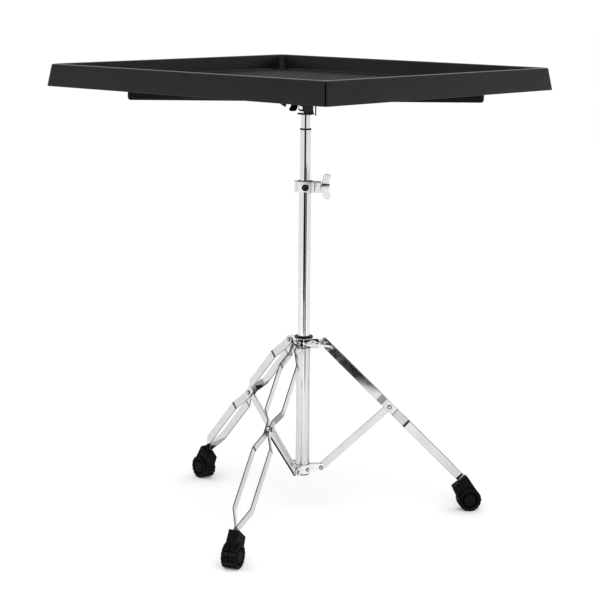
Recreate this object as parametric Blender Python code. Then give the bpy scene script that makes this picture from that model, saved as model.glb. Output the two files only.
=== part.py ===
"""Percussion table: a shallow moulded tray on a telescoping mast with a folding double-braced tripod.

Metres, +Z up, the floor at z = 0, the tray's longer sides along X. The origin is the centre of the
footprint's box, so the mast stands at MAST. Shapes are drawn about the mast's axis, then moved there.
"""

import math

import bmesh
import bpy
from mathutils import Matrix, Vector

for old in list(bpy.data.objects):
    bpy.data.objects.remove(old, do_unlink=True)

GAP = 0.0003
MAST = Vector((0.0085, 0.0118, 0.0))

# Tray (its centre lies a little off the mast)
TRAY_OFFSET = Vector((-0.0085, -0.0076, 0.0))
TRAY_X = 0.7245
TRAY_Y = 0.6738
RIM_Z = 0.9264
SKIRT_DROP = 0.0440
SKIRT_FLARE = 0.0065
FLOOR_DROP = 0.0327
FLOOR_THICK = 0.0032
FLOOR_UNDER = RIM_Z - FLOOR_DROP - FLOOR_THICK

# Bar under the tray, along its diagonal
BAR_AZIMUTH = math.degrees(math.atan2(TRAY_Y, TRAY_X))
BAR_HALF = 0.352
BAR_WIDTH = 0.036
BAR_SHEET = 0.002
BAR_BOTTOM = 0.857
BAR_TOP = FLOOR_UNDER - GAP
NOTCH_HALF = 0.058
NOTCH_TOP = 0.8805
TONGUE = (
    (-0.0620, 0.8600),
    (-0.0580, 0.8572),
    (-0.0412, 0.8452),
    (-0.0372, 0.8535),
    (-0.0372, 0.8660),
    (-0.0620, 0.8720),
)
PLATE_X = 0.052
PLATE_Y = 0.0154
PLATE_THICK = 0.0025
SCREW_HOLE_R = 0.0023
WEB_SCREWS = (-0.300, -0.038, 0.038, 0.300)

# Mast tubes (outer radii 19.05, 22.2, 25.4 and 28.6 mm across)
TOP_R = 0.009525
MID_R = 0.0111
BASE_R = 0.0127
SLEEVE_R = 0.0143
TUBE_BOTTOM = 0.0915
SLEEVE_TOP = 0.3574
BASE_TOP = 0.6935
MID_BOTTOM = 0.450
MID_TOP = 0.7998
TOP_BOTTOM = 0.700
TOP_TOP = 0.8830

# Clamp hardware shares one direction
CLAMP_AZIMUTH = 41.9
CLAMP_LOW = 0.6766
CLAMP_HIGH = 0.6973
CLAMP_R = 0.0188
CLAMP_BOLT_Z = 0.6895
CLAMP_BOLT_Y = -0.0243
NUT_START = 0.0325
KEY_Z = 0.6857

# Tray mount
WASHER_LOW = 0.8303
SADDLE_LOW = 0.8331
SOCKET_LOW = 0.8468
SOCKET_R = 0.0135
MOUNT_BOLT_Z = 0.8538
TAB_LOW = 0.8278
TAB_HALF = 0.0100
TAB_NEAR = 0.0196
TAB_FAR = 0.0214

# Leg slider
SLIDER_LOW = SLEEVE_TOP + GAP
SLIDER_HIGH = 0.3774
SLIDER_R = 0.0190
SLIDER_BOLT_AZIMUTH = -9.6
SLIDER_BOLT_Z = (SLIDER_LOW + SLIDER_HIGH) / 2 + 0.0006
SLIDER_LUG_HALF = 0.00275

# Tripod linkage, in the plane of one leg: (distance from the mast, height)
LEG_AZIMUTHS = (50.4, 170.4, 290.4)
TOP_PIVOT = Vector((0.0425, 0.3665))
MID_PIVOT = Vector((0.1800, 0.2275))
LOW_PIVOT = Vector((0.0380, 0.1030))
LEG_DIR = (MID_PIVOT - TOP_PIVOT).normalized()
MID_AT = (MID_PIVOT - TOP_PIVOT).length
STRIP_W = 0.0175
STRIP_T = 0.0025
STRIP_END = 0.432
BRACE_W = 0.0160
BRACE_T = 0.0060
PIN_R = 0.0030
RIVET_HEAD_R = 0.0045

# Rubber foot
FOOT_CENTRE = Vector((0.3535, 0.0242))
FOOT_R = 0.0242
FOOT_W = 0.0310
BOOT_W = 0.0212

# Bottom bracket
BRACKET_LOW = 0.0925
BRACKET_HIGH = 0.1115
LUG_REACH = 0.0445


def material(name, colour, metallic, roughness):
    mat = bpy.data.materials.new(name)
    mat.use_nodes = True
    shader = mat.node_tree.nodes["Principled BSDF"]
    shader.inputs["Base Color"].default_value = (*colour, 1.0)
    shader.inputs["Metallic"].default_value = metallic
    shader.inputs["Roughness"].default_value = roughness
    mat.diffuse_color = (*colour, 1.0)
    return mat


TRAY_PLASTIC = material("tray_plastic", (0.022, 0.022, 0.024), 0.0, 0.45)
BLACK_STEEL = material("black_steel", (0.012, 0.012, 0.013), 0.0, 0.40)
CHROME = material("chrome", (0.80, 0.80, 0.81), 1.0, 0.08)
NYLON = material("black_nylon", (0.015, 0.015, 0.016), 0.0, 0.50)
RUBBER = material("foot_rubber", (0.020, 0.020, 0.021), 0.0, 0.75)
ZINC = material("zinc_fastener", (0.55, 0.55, 0.56), 1.0, 0.30)


def finish(name, bm, mat, matrix=None, origin=None, helper=False):
    """Turns a bmesh drawn about the mast into an object at MAST, with its own origin at the given point."""
    if matrix is not None:
        bm.transform(matrix)
    bmesh.ops.recalc_face_normals(bm, faces=bm.faces)
    origin = Vector(origin or (0.0, 0.0, 0.0))
    bm.transform(Matrix.Translation(-origin))
    mesh = bpy.data.meshes.new(name)
    bm.to_mesh(mesh)
    bm.free()
    mesh.polygons.foreach_set("use_smooth", [True] * len(mesh.polygons))
    mesh.set_sharp_from_angle(angle=math.radians(35))
    mesh.materials.append(mat)
    obj = bpy.data.objects.new(name, mesh)
    obj.location = MAST + origin
    bpy.context.scene.collection.objects.link(obj)
    if helper:
        obj.hide_render = True
        obj.display_type = "WIRE"
    return obj


def shell_of_rings(rings, closed=False):
    """A bmesh through rings of equal length; closed joins the last ring to the first."""
    bm = bmesh.new()
    rows = [[bm.verts.new(point) for point in ring] for ring in rings]
    pairs = list(zip(rows, rows[1:]))
    if closed:
        pairs.append((rows[-1], rows[0]))
    for near, far in pairs:
        for i in range(len(near)):
            j = (i + 1) % len(near)
            bm.faces.new((near[i], near[j], far[j], far[i]))
    if not closed:
        bm.faces.new(rows[0])
        bm.faces.new(rows[-1])
    return bm


def lathe(profile, segments, ring=False):
    """Revolves (radius, height) points about Z. A ring's profile is a closed loop."""
    rings = []
    for radius, height in profile:
        turn = [2 * math.pi * i / segments for i in range(segments)]
        rings.append([(radius * math.cos(a), radius * math.sin(a), height) for a in turn])
    return shell_of_rings(rings, closed=ring)


def cylinder(radius, low, high, segments=24, chamfer=0.0):
    if not chamfer:
        return lathe([(radius, low), (radius, high)], segments)
    inner = radius - chamfer
    return lathe([(inner, low), (radius, low + chamfer), (radius, high - chamfer), (inner, high)], segments)


def tube(outer, inner, low, high, segments=28):
    return lathe([(outer, low), (outer, high), (inner, high), (inner, low)], segments, ring=True)


def box(low, high):
    corners = ((low[0], low[1]), (high[0], low[1]), (high[0], high[1]), (low[0], high[1]))
    return shell_of_rings([[(x, y, z) for x, y in corners] for z in (low[2], high[2])])


def prism(outline, low, high):
    """A flat outline of (a, b) points, thick from low to high along the third axis."""
    return shell_of_rings([[(a, b, c) for a, b in outline] for c in (low, high)])


def rounded(outline, radii, steps=4):
    """Rounds the corners of a convex outline, one radius per corner."""
    points = []
    count = len(outline)
    for i, radius in enumerate(radii):
        here = Vector(outline[i])
        back = (Vector(outline[i - 1]) - here).normalized()
        ahead = (Vector(outline[(i + 1) % count]) - here).normalized()
        if radius <= 0:
            points.append(here)
            continue
        half = back.angle(ahead) / 2
        centre = here + (back + ahead).normalized() * radius / math.sin(half)
        start = here + back * radius / math.tan(half) - centre
        end = here + ahead * radius / math.tan(half) - centre
        sweep = start.angle_signed(end)
        for k in range(steps + 1):
            turn = Matrix.Rotation(-sweep * k / steps, 2)
            points.append(centre + turn @ start)
    return [(p.x, p.y) for p in points]


def boolean(target, operation, *others):
    for other in others:
        modifier = target.modifiers.new(operation.lower(), "BOOLEAN")
        modifier.operation = operation
        modifier.solver = "EXACT"
        modifier.object = other


SWAP_YZ = Matrix(((1, 0, 0, 0), (0, 0, 1, 0), (0, 1, 0, 0), (0, 0, 0, 1)))


def about_z(degrees):
    return Matrix.Rotation(math.radians(degrees), 4, "Z")


def along(azimuth, height, side=0.0):
    """Maps local +Z to the horizontal direction of the azimuth, at the given height and sideways offset."""
    flat = Matrix.Rotation(math.radians(90), 4, "Y")
    return about_z(azimuth) @ Matrix.Translation((0, side, height)) @ flat


def leg_plane(azimuth):
    """Maps (distance from the mast, height, sideways) to the world."""
    return about_z(azimuth) @ SWAP_YZ


def in_plane(azimuth, point, sideways=0.0):
    return leg_plane(azimuth) @ Vector((point[0], point[1], sideways))


CLAMP = about_z(CLAMP_AZIMUTH)


# ---------------------------------------------------------------- tray
def rounded_rectangle(half_x, half_y, radius, height, steps=5):
    ring = []
    for corner in range(4):
        sx = 1 if corner in (0, 3) else -1
        sy = 1 if corner in (0, 1) else -1
        for k in range(steps + 1):
            angle = math.radians(90 * corner + 90 * k / steps)
            x = sx * (half_x - radius) + radius * math.cos(angle)
            y = sy * (half_y - radius) + radius * math.sin(angle)
            ring.append((x, y, height))
    return ring


# (offset from the rim's outline, drop below the rim, corner radius), outside to inside and back
TRAY_SECTION = (
    (-0.0140, FLOOR_DROP, 0.0130),
    (-0.0118, FLOOR_DROP - 0.0006, 0.0130),
    (-0.0108, FLOOR_DROP - 0.0024, 0.0120),
    (-0.0066, 0.0024, 0.0100),
    (-0.0060, 0.0008, 0.0098),
    (-0.0046, 0.0000, 0.0095),
    (-0.0022, 0.0000, 0.0085),
    (-0.0007, 0.0008, 0.0082),
    (0.0001, 0.0026, 0.0080),
    (SKIRT_FLARE, SKIRT_DROP - 0.0006, 0.0080),
    (SKIRT_FLARE - 0.0006, SKIRT_DROP, 0.0076),
    (SKIRT_FLARE - 0.0026, SKIRT_DROP, 0.0062),
    (-0.0026, 0.0040, 0.0056),
    (-0.0034, 0.0034, 0.0074),
    (-0.0042, 0.0042, 0.0092),
    (-0.0084, FLOOR_DROP, 0.0112),
    (-0.0100, FLOOR_DROP + FLOOR_THICK, 0.0120),
)


def tray():
    rings = []
    for offset, drop, radius in TRAY_SECTION:
        half_x = TRAY_X / 2 + offset
        half_y = TRAY_Y / 2 + offset
        rings.append(rounded_rectangle(half_x, half_y, radius, RIM_Z - drop))
    shell = finish("tray_shell", shell_of_rings(rings), TRAY_PLASTIC, Matrix.Translation(TRAY_OFFSET))
    for index, reach in enumerate(WEB_SCREWS):
        place = about_z(BAR_AZIMUTH) @ Matrix.Translation((reach, 0, 0))
        hole = cylinder(SCREW_HOLE_R, FLOOR_UNDER - 0.002, FLOOR_UNDER + 0.0022, 12)
        hole = finish(f"cut_tray_screw_{index}", hole, TRAY_PLASTIC, place, helper=True)
        boolean(shell, "DIFFERENCE", hole)


def tray_bar():
    turn = about_z(BAR_AZIMUTH)
    corners = ((-BAR_HALF, BAR_BOTTOM), (BAR_HALF, BAR_BOTTOM), (BAR_HALF, BAR_TOP), (-BAR_HALF, BAR_TOP))
    outline = rounded(corners, (0.006, 0.006, 0.0, 0.0))
    bar = prism(outline, -BAR_WIDTH / 2, BAR_WIDTH / 2)
    bar = finish("tray_bar", bar, BLACK_STEEL, turn @ SWAP_YZ)
    inner = BAR_WIDTH / 2 - BAR_SHEET
    hollow = box((-0.4, -inner, BAR_BOTTOM - 0.01), (0.4, inner, BAR_TOP - BAR_SHEET))
    notch = box((-NOTCH_HALF, -0.03, BAR_BOTTOM - 0.012), (NOTCH_HALF, 0.03, NOTCH_TOP))
    cutters = [finish("cut_bar_hollow", hollow, BLACK_STEEL, turn, helper=True)]
    cutters.append(finish("cut_bar_notch", notch, BLACK_STEEL, turn, helper=True))
    plate_top = BAR_TOP - BAR_SHEET - GAP
    plate_low = plate_top - PLATE_THICK
    corners = ((-PLATE_X, -PLATE_Y), (PLATE_X, -PLATE_Y), (PLATE_X, PLATE_Y), (-PLATE_X, PLATE_Y))
    outline = rounded(corners, (0.005,) * 4, 3)
    plate = finish("mount_plate", prism(outline, plate_low, plate_top), BLACK_STEEL, turn)
    for index, reach in enumerate(WEB_SCREWS):
        place = turn @ Matrix.Translation((reach, 0, 0))
        hole = cylinder(SCREW_HOLE_R, plate_low - 0.002, BAR_TOP + 0.002, 12)
        hole = finish(f"cut_web_screw_{index}", hole, BLACK_STEEL, place, helper=True)
        cutters.append(hole)
        under = plate_top
        if abs(reach) < 0.1:
            boolean(plate, "DIFFERENCE", hole)
            under = plate_low - GAP
        profile = [(0.0026, under - 0.0024), (0.0042, under - 0.0012), (0.0042, under)]
        profile += [(0.0020, under), (0.0020, FLOOR_UNDER + 0.0019)]
        origin = place @ Vector((0, 0, under))
        finish(f"tray_screw_{index + 1}", lathe(profile, 10), ZINC, place, origin)
    boolean(bar, "DIFFERENCE", *cutters)
    # A pressed corner hangs from the near wall, at the notch's end by the wing bolt.
    tongue = prism(TONGUE, -BAR_WIDTH / 2, BAR_SHEET - BAR_WIDTH / 2)
    boolean(bar, "UNION", finish("join_bar_tongue", tongue, BLACK_STEEL, turn @ SWAP_YZ, helper=True))
    return plate_low


def tray_mount(plate_low):
    bore = cylinder(TOP_R + GAP, WASHER_LOW - 0.01, plate_low - 0.0023, 32)
    bore = finish("cut_mount_bore", bore, BLACK_STEEL, helper=True)

    socket_top = plate_low - GAP
    socket = finish("mount_socket", cylinder(SOCKET_R, SOCKET_LOW, socket_top, 32, 0.0005), BLACK_STEEL)
    left = CLAMP_AZIMUTH + 180
    boss = cylinder(0.0070, 0.0100, 0.0139, 20)
    boss = finish("join_mount_boss", boss, BLACK_STEEL, along(left, MOUNT_BOLT_Z), helper=True)
    thread = cylinder(PIN_R + GAP, 0.0060, 0.0300, 12)
    thread = finish("cut_mount_thread", thread, BLACK_STEEL, along(left, MOUNT_BOLT_Z), helper=True)
    boolean(socket, "UNION", boss)
    boolean(socket, "DIFFERENCE", bore, thread)

    # The saddle wraps the front, the right and the back of the tube.
    outline = ((-0.0046, -0.0150), (0.0130, -0.0150), (0.0130, 0.0130), (-0.0046, 0.0130))
    outline = rounded(outline, (0.001, 0.004, 0.004, 0.001), 3)
    saddle = prism(outline, SADDLE_LOW, SOCKET_LOW - GAP)
    saddle = finish("mount_saddle", saddle, BLACK_STEEL, CLAMP)
    boolean(saddle, "DIFFERENCE", bore)

    profile = ((0.0166, WASHER_LOW), (0.0170, WASHER_LOW + 0.0012), (0.0166, SADDLE_LOW - GAP))
    profile += ((TOP_R + GAP, SADDLE_LOW - GAP), (TOP_R + GAP, WASHER_LOW))
    finish("mount_washer", lathe(profile, 28, ring=True), NYLON)

    corners = ((-TAB_HALF, TAB_LOW), (TAB_HALF, TAB_LOW), (TAB_HALF, socket_top), (-TAB_HALF, socket_top))
    outline = rounded(corners, (0.004, 0.004, 0, 0), 3)
    turn = Matrix(((0, 0, 1, 0), (1, 0, 0, 0), (0, 1, 0, 0), (0, 0, 0, 1)))
    finish("mount_tab", prism(outline, TAB_NEAR, TAB_FAR), BLACK_STEEL, CLAMP @ turn)

    place = along(left, MOUNT_BOLT_Z) @ Matrix.Rotation(math.radians(45), 4, "Z")
    wing_screw("mount_wing_bolt", BLACK_STEEL, place, 0.0142, TOP_R + GAP, 0.92)


# ---------------------------------------------------------------- wing hardware
WING_HALF = 0.0018
WING_HUB_R = 0.0066
WING_OUTLINE = (
    (-0.0048, 0.0012),
    (-0.0200, 0.0036),
    (-0.0238, 0.0060),
    (-0.0242, 0.0185),
    (-0.0222, 0.0200),
    (-0.0180, 0.0195),
    (-0.0090, 0.0155),
    (0.0090, 0.0155),
    (0.0180, 0.0195),
    (0.0222, 0.0200),
    (0.0242, 0.0185),
    (0.0238, 0.0060),
    (0.0200, 0.0036),
    (0.0048, 0.0012),
)


def wings(name, mat, place, scale):
    outline = [(a * scale, b) for a, b in WING_OUTLINE]
    return finish(name, prism(outline, -WING_HALF, WING_HALF), mat, place @ SWAP_YZ, helper=True)


def wing_screw(name, mat, place, start, tip, scale):
    """A winged hub from start outwards on the local axis, with a shank inwards to the tip."""
    shifted = place @ Matrix.Translation((0, 0, start))
    profile = [(0.0024, tip - start), (PIN_R, tip - start + 0.0008), (PIN_R, 0.0), (WING_HUB_R, 0.0)]
    profile += [(WING_HUB_R, 0.0090), (0.0056, 0.0165)]
    origin = shifted @ Vector((0, 0, 0))
    screw = finish(name, lathe(profile, 18), mat, shifted, origin)
    boolean(screw, "UNION", wings(f"join_{name}", mat, shifted, scale))


# ---------------------------------------------------------------- mast
def mast():
    finish("top_tube", tube(TOP_R, 0.0083, TOP_BOTTOM, TOP_TOP), CHROME)
    finish("mid_tube", tube(MID_R, TOP_R + GAP, MID_BOTTOM, MID_TOP), CHROME)
    profile = ((MID_R, MID_TOP + GAP), (MID_R, MID_TOP + 0.0016), (MID_R - 0.0005, MID_TOP + 0.0021))
    profile += ((TOP_R + GAP, MID_TOP + 0.0021), (TOP_R + GAP, MID_TOP + GAP))
    finish("mid_tube_ring", lathe(profile, 24, ring=True), NYLON)
    finish("base_tube", tube(BASE_R, MID_R + GAP, TUBE_BOTTOM, BASE_TOP), CHROME)
    finish("lower_sleeve", tube(SLEEVE_R, BASE_R + GAP, TUBE_BOTTOM, SLEEVE_TOP), CHROME)
    profile = [(SLEEVE_R - 0.001, TUBE_BOTTOM - 0.0022), (SLEEVE_R, TUBE_BOTTOM - 0.0014)]
    profile += [(SLEEVE_R, TUBE_BOTTOM - GAP), (MID_R, TUBE_BOTTOM - GAP), (MID_R, TUBE_BOTTOM + 0.010)]
    finish("base_plug", lathe(profile, 24), NYLON)


def height_clamp():
    body = finish("clamp_body", cylinder(CLAMP_R, CLAMP_LOW, CLAMP_HIGH, 32, 0.0008), CHROME)
    low = CLAMP_LOW + 0.0002
    high = CLAMP_HIGH - 0.0002
    blocks = (
        ((0.0078, -0.0300, low), (0.0204, -0.0060, high)),
        ((0.0120, -0.0100, low + 0.0001), (0.0320, 0.0060, high - 0.0001)),
        ((0.0212, -0.0300, low + 0.0002), (0.0322, -0.0080, high - 0.0002)),
    )
    for index, (near, far) in enumerate(blocks):
        boolean(body, "UNION", finish(f"join_clamp_{index}", box(near, far), CHROME, CLAMP, helper=True))
    knuckle = Matrix.Translation((-0.0185, -0.0060, 0))
    post = cylinder(0.0034, CLAMP_LOW - 0.0008, CLAMP_HIGH + 0.0016, 16)
    boolean(body, "UNION", finish("join_clamp_knuckle", post, CHROME, CLAMP @ knuckle, helper=True))
    cuts = (
        ("bore", cylinder(BASE_R + GAP, CLAMP_LOW - 0.01, CLAMP_HIGH + 0.01, 32), CLAMP),
        ("seat", cylinder(0.0153, BASE_TOP + 0.0002, CLAMP_HIGH + 0.01, 32), CLAMP),
        ("slot", box((0.0204, -0.0400, CLAMP_LOW - 0.01), (0.0212, -0.0098, CLAMP_HIGH + 0.01)), CLAMP),
        ("slit", box((0.0070, -0.0110, CLAMP_LOW - 0.011), (0.0211, -0.0100, CLAMP_HIGH + 0.011)), CLAMP),
        ("bolt", cylinder(PIN_R + GAP, 0.0097, 0.0600, 16), along(CLAMP_AZIMUTH, CLAMP_BOLT_Z, CLAMP_BOLT_Y)),
        ("pin", cylinder(0.0019, CLAMP_LOW - 0.01, CLAMP_HIGH + 0.01, 12), CLAMP @ knuckle),
        ("key", cylinder(0.0030, 0.0100, 0.0300, 12), along(CLAMP_AZIMUTH - 90, KEY_Z)),
    )
    for tag, bm, place in cuts:
        boolean(body, "DIFFERENCE", finish(f"cut_clamp_{tag}", bm, CHROME, place, helper=True))

    profile = ((0.0150, BASE_TOP + 0.0005), (0.0150, CLAMP_HIGH + 0.0007), (0.0145, CLAMP_HIGH + 0.0012))
    profile += ((MID_R + GAP, CLAMP_HIGH + 0.0012), (MID_R + GAP, BASE_TOP + 0.0005))
    finish("clamp_bushing", lathe(profile, 28, ring=True), NYLON)

    profile = [(0.0012, CLAMP_LOW - 0.0024), (0.0016, CLAMP_LOW - 0.0020), (0.0016, CLAMP_HIGH + 0.0026)]
    profile += [(0.0012, CLAMP_HIGH + 0.0030)]
    finish("clamp_pin", lathe(profile, 12), ZINC, CLAMP @ knuckle)

    place = along(CLAMP_AZIMUTH, CLAMP_BOLT_Z, CLAMP_BOLT_Y)
    stud = cylinder(PIN_R, 0.0100, 0.0520, 16, 0.0006)
    finish("clamp_bolt", stud, BLACK_STEEL, place, place @ Vector((0, 0, NUT_START)))

    shifted = place @ Matrix.Translation((0, 0, NUT_START)) @ Matrix.Rotation(math.radians(-4), 4, "Z")
    profile = [(WING_HUB_R, 0.0), (WING_HUB_R, 0.0090), (0.0056, 0.0165)]
    nut = finish("clamp_wing_nut", lathe(profile, 18), CHROME, shifted, shifted @ Vector((0, 0, 0)))
    boolean(nut, "UNION", wings("join_clamp_wings", CHROME, shifted, 1.0))
    hole = cylinder(PIN_R + GAP, -0.01, 0.04, 16)
    boolean(nut, "DIFFERENCE", finish("cut_nut_hole", hole, CHROME, shifted, helper=True))

    profile = [(0.0022, 0.0136), (0.0027, 0.0141), (0.0027, 0.0191), (0.0062, 0.0191)]
    profile += [(0.0066, 0.0197), (0.0066, 0.0215), (0.0052, 0.0229)]
    place = along(CLAMP_AZIMUTH - 90, KEY_Z)
    finish("clamp_key_screw", lathe(profile, 18), NYLON, place, place @ Vector((0, 0, 0.0191)))


# ---------------------------------------------------------------- leg slider
def leg_slider():
    slider = finish("leg_slider", cylinder(SLIDER_R, SLIDER_LOW, SLIDER_HIGH, 32, 0.0008), CHROME)
    lug_low = SLIDER_LOW + 0.0003
    lug_high = TOP_PIVOT.y + 0.0078
    reach = TOP_PIVOT.x + 0.0080
    outline = ((0.0150, lug_low), (reach, lug_low), (reach, lug_high), (0.0150, lug_high))
    outline = rounded(outline, (0.0, 0.0065, 0.0072, 0.0))
    for index, azimuth in enumerate(LEG_AZIMUTHS):
        place = leg_plane(azimuth)
        lug = prism(outline, -SLIDER_LUG_HALF, SLIDER_LUG_HALF)
        boolean(slider, "UNION", finish(f"join_slider_lug_{index}", lug, CHROME, place, helper=True))
    boss = cylinder(0.0078, 0.0120, 0.0333, 20)
    place = along(SLIDER_BOLT_AZIMUTH, SLIDER_BOLT_Z)
    boolean(slider, "UNION", finish("join_slider_boss", boss, CHROME, place, helper=True))
    cutters = [finish("cut_slider_bore", cylinder(BASE_R + GAP, 0.3, 0.45, 32), CHROME, helper=True)]
    thread = cylinder(PIN_R + GAP, 0.0090, 0.0400, 12)
    cutters.append(finish("cut_slider_thread", thread, CHROME, place, helper=True))
    for index, azimuth in enumerate(LEG_AZIMUTHS):
        pin = leg_plane(azimuth) @ Matrix.Translation((TOP_PIVOT.x, TOP_PIVOT.y, 0))
        hole = cylinder(PIN_R + GAP, -0.02, 0.02, 16)
        cutters.append(finish(f"cut_slider_pin_{index}", hole, CHROME, pin, helper=True))
    boolean(slider, "DIFFERENCE", *cutters)

    base = SLIDER_HIGH + GAP
    profile = ((0.0184, base), (0.0190, base + 0.0008), (0.0190, base + 0.0032), (0.0180, base + 0.0039))
    profile += ((BASE_R + GAP, base + 0.0039), (BASE_R + GAP, base))
    finish("slider_ring", lathe(profile, 28, ring=True), NYLON)

    place = place @ Matrix.Rotation(math.radians(80), 4, "Z")
    wing_screw("slider_wing_bolt", CHROME, place, 0.0343, BASE_R + GAP, 1.35)


# ---------------------------------------------------------------- legs
PINCH = BRACE_T / 2 + GAP + STRIP_T / 2
SPREAD = 0.0180
CLOSED = 0.00156
# (distance down the leg, sideways offset of one strip)
STRIP_PATH = (
    (0.000, PINCH),
    (0.016, PINCH),
    (0.049, SPREAD),
    (0.157, SPREAD),
    (MID_AT - 0.0155, PINCH),
    (MID_AT + 0.0158, PINCH),
    (MID_AT + 0.0465, SPREAD),
    (0.376, SPREAD),
    (0.4145, CLOSED),
    (STRIP_END, CLOSED),
)


def strip_sections():
    """(distance, offset, half width) down one strip, with a round top end."""
    half = STRIP_W / 2
    sections = []
    for degrees in (10, 35, 60, 90):
        angle = math.radians(degrees)
        sections.append((-half * math.cos(angle), PINCH, half * math.sin(angle)))
    for distance, offset in STRIP_PATH[1:]:
        sections.append((distance, offset, half))
    return sections


def leg_strip(name, azimuth, side):
    sections = strip_sections()
    across = Vector((LEG_DIR.y, -LEG_DIR.x))
    rings = []
    for index, (distance, offset, half) in enumerate(sections):
        before = sections[max(index - 1, 0)]
        after = sections[min(index + 1, len(sections) - 1)]
        ends = ((before[0], before[1]), (distance, offset), (after[0], after[1]))
        normals = []
        for start, stop in zip(ends, ends[1:]):
            run = Vector((stop[0] - start[0], stop[1] - start[1]))
            if run.length > 1e-6:
                normals.append(Vector((-run.y, run.x)).normalized())
        normal = sum(normals, Vector((0.0, 0.0))).normalized()
        normal *= STRIP_T / 2 / normal.dot(normals[0])
        ring = []
        for wide, thick in ((-1, -1), (1, -1), (1, 1), (-1, 1)):
            down = distance + normal.x * thick
            point = TOP_PIVOT + LEG_DIR * down + across * wide * half
            ring.append((point.x, point.y, side * (offset + normal.y * thick)))
        rings.append(ring)
    place = leg_plane(azimuth)
    strip = finish(name, shell_of_rings(rings), CHROME, place, in_plane(azimuth, TOP_PIVOT))
    for tag, point in (("top", TOP_PIVOT), ("mid", MID_PIVOT)):
        pin = place @ Matrix.Translation((point.x, point.y, 0))
        hole = cylinder(PIN_R + GAP, -0.02, 0.02, 16)
        boolean(strip, "DIFFERENCE", finish(f"cut_{name}_{tag}", hole, CHROME, pin, helper=True))


def cross_rivet(name, azimuth, point, half):
    """A rivet across a leg, with a domed head on each side."""
    side = [(PIN_R, half + GAP), (RIVET_HEAD_R, half + GAP)]
    side += [(RIVET_HEAD_R, half + 0.0010), (0.0028, half + 0.0021)]
    profile = [(radius, -height) for radius, height in reversed(side)] + side
    place = leg_plane(azimuth) @ Matrix.Translation((point.x, point.y, 0))
    finish(name, lathe(profile, 12), ZINC, place, in_plane(azimuth, point))


def brace(name, azimuth):
    """A folded channel: closed below, open above, with round drilled ends."""
    run = LOW_PIVOT - MID_PIVOT
    length = run.length
    half = BRACE_W / 2
    outline = []
    for k in range(9):
        angle = math.radians(90 + 180 * k / 8)
        outline.append((half * math.cos(angle), half * math.sin(angle)))
    for k in range(9):
        angle = math.radians(-90 + 180 * k / 8)
        outline.append((length + half * math.cos(angle), half * math.sin(angle)))
    direction = run.normalized()
    frame = Matrix(
        (
            (direction.x, -direction.y, 0, MID_PIVOT.x),
            (direction.y, direction.x, 0, MID_PIVOT.y),
            (0, 0, 1, 0),
            (0, 0, 0, 1),
        )
    )
    place = leg_plane(azimuth) @ frame
    origin = in_plane(azimuth, MID_PIVOT)
    body = finish(name, prism(outline, -BRACE_T / 2, BRACE_T / 2), CHROME, place, origin)
    wall = 0.0015
    trough = box((0.011, -0.03, wall - BRACE_T / 2), (length - 0.011, half - wall, BRACE_T / 2 - wall))
    boolean(body, "DIFFERENCE", finish(f"cut_{name}_trough", trough, CHROME, place, helper=True))
    for tag, reach, radius in (("mid", 0.0, PIN_R + GAP), ("low", length, 0.0028)):
        pin = place @ Matrix.Translation((reach, 0, 0))
        hole = finish(f"cut_{name}_{tag}", cylinder(radius, -0.02, 0.02, 16), CHROME, pin, helper=True)
        boolean(body, "DIFFERENCE", hole)


def foot(name, azimuth):
    place = leg_plane(azimuth)
    centre = Matrix.Translation((FOOT_CENTRE.x, FOOT_CENTRE.y, 0))
    ribs = 16
    outline = []
    for k in range(ribs):
        for part, radius in ((0.03, FOOT_R), (0.36, FOOT_R), (0.69, FOOT_R), (0.74, 0.0230), (0.98, 0.0230)):
            angle = 2 * math.pi * (k + part - 0.36) / ribs - math.pi / 2
            outline.append((radius * math.cos(angle), radius * math.sin(angle)))
    drum = prism(outline, -FOOT_W / 2, FOOT_W / 2)
    body = finish(name, drum, RUBBER, place @ centre, in_plane(azimuth, FOOT_CENTRE))
    corners = ((0.3175, 0.0512), (0.3482, 0.0738), (0.3712, 0.0400), (0.3560, 0.0140), (0.3336, 0.0180))
    outline = rounded(corners, (0.003, 0.0015, 0.004, 0.0, 0.0), 3)
    boot = finish(f"join_{name}", prism(outline, -BOOT_W / 2, BOOT_W / 2), RUBBER, place, helper=True)
    boolean(body, "UNION", boot)
    end = TOP_PIVOT + LEG_DIR * (STRIP_END + GAP)
    across = Vector((LEG_DIR.y, -LEG_DIR.x)) * (STRIP_W / 2 + GAP)
    mouth = end - LEG_DIR * 0.060
    outline = [tuple(end - across), tuple(end + across), tuple(mouth + across), tuple(mouth - across)]
    half = CLOSED + STRIP_T / 2 + GAP
    slot = finish(f"cut_{name}", prism(outline, -half, half), RUBBER, place, helper=True)
    boolean(body, "DIFFERENCE", slot)


def tripod():
    for index, azimuth in enumerate(LEG_AZIMUTHS, 1):
        leg_strip(f"leg_{index}_strip_a", azimuth, 1)
        leg_strip(f"leg_{index}_strip_b", azimuth, -1)
        cross_rivet(f"leg_{index}_top_rivet", azimuth, TOP_PIVOT, PINCH + STRIP_T / 2)
        cross_rivet(f"leg_{index}_mid_rivet", azimuth, MID_PIVOT, PINCH + STRIP_T / 2)
        brace(f"brace_{index}", azimuth)
        profile = [(0.0020, -BRACE_T / 2), (0.0025, 0.0005 - BRACE_T / 2)]
        profile += [(0.0025, BRACE_T / 2 - 0.0005), (0.0020, BRACE_T / 2)]
        pin = leg_plane(azimuth) @ Matrix.Translation((LOW_PIVOT.x, LOW_PIVOT.y, 0))
        finish(f"brace_{index}_pin", lathe(profile, 12), ZINC, pin, in_plane(azimuth, LOW_PIVOT))
        foot(f"foot_{index}", azimuth)


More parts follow.
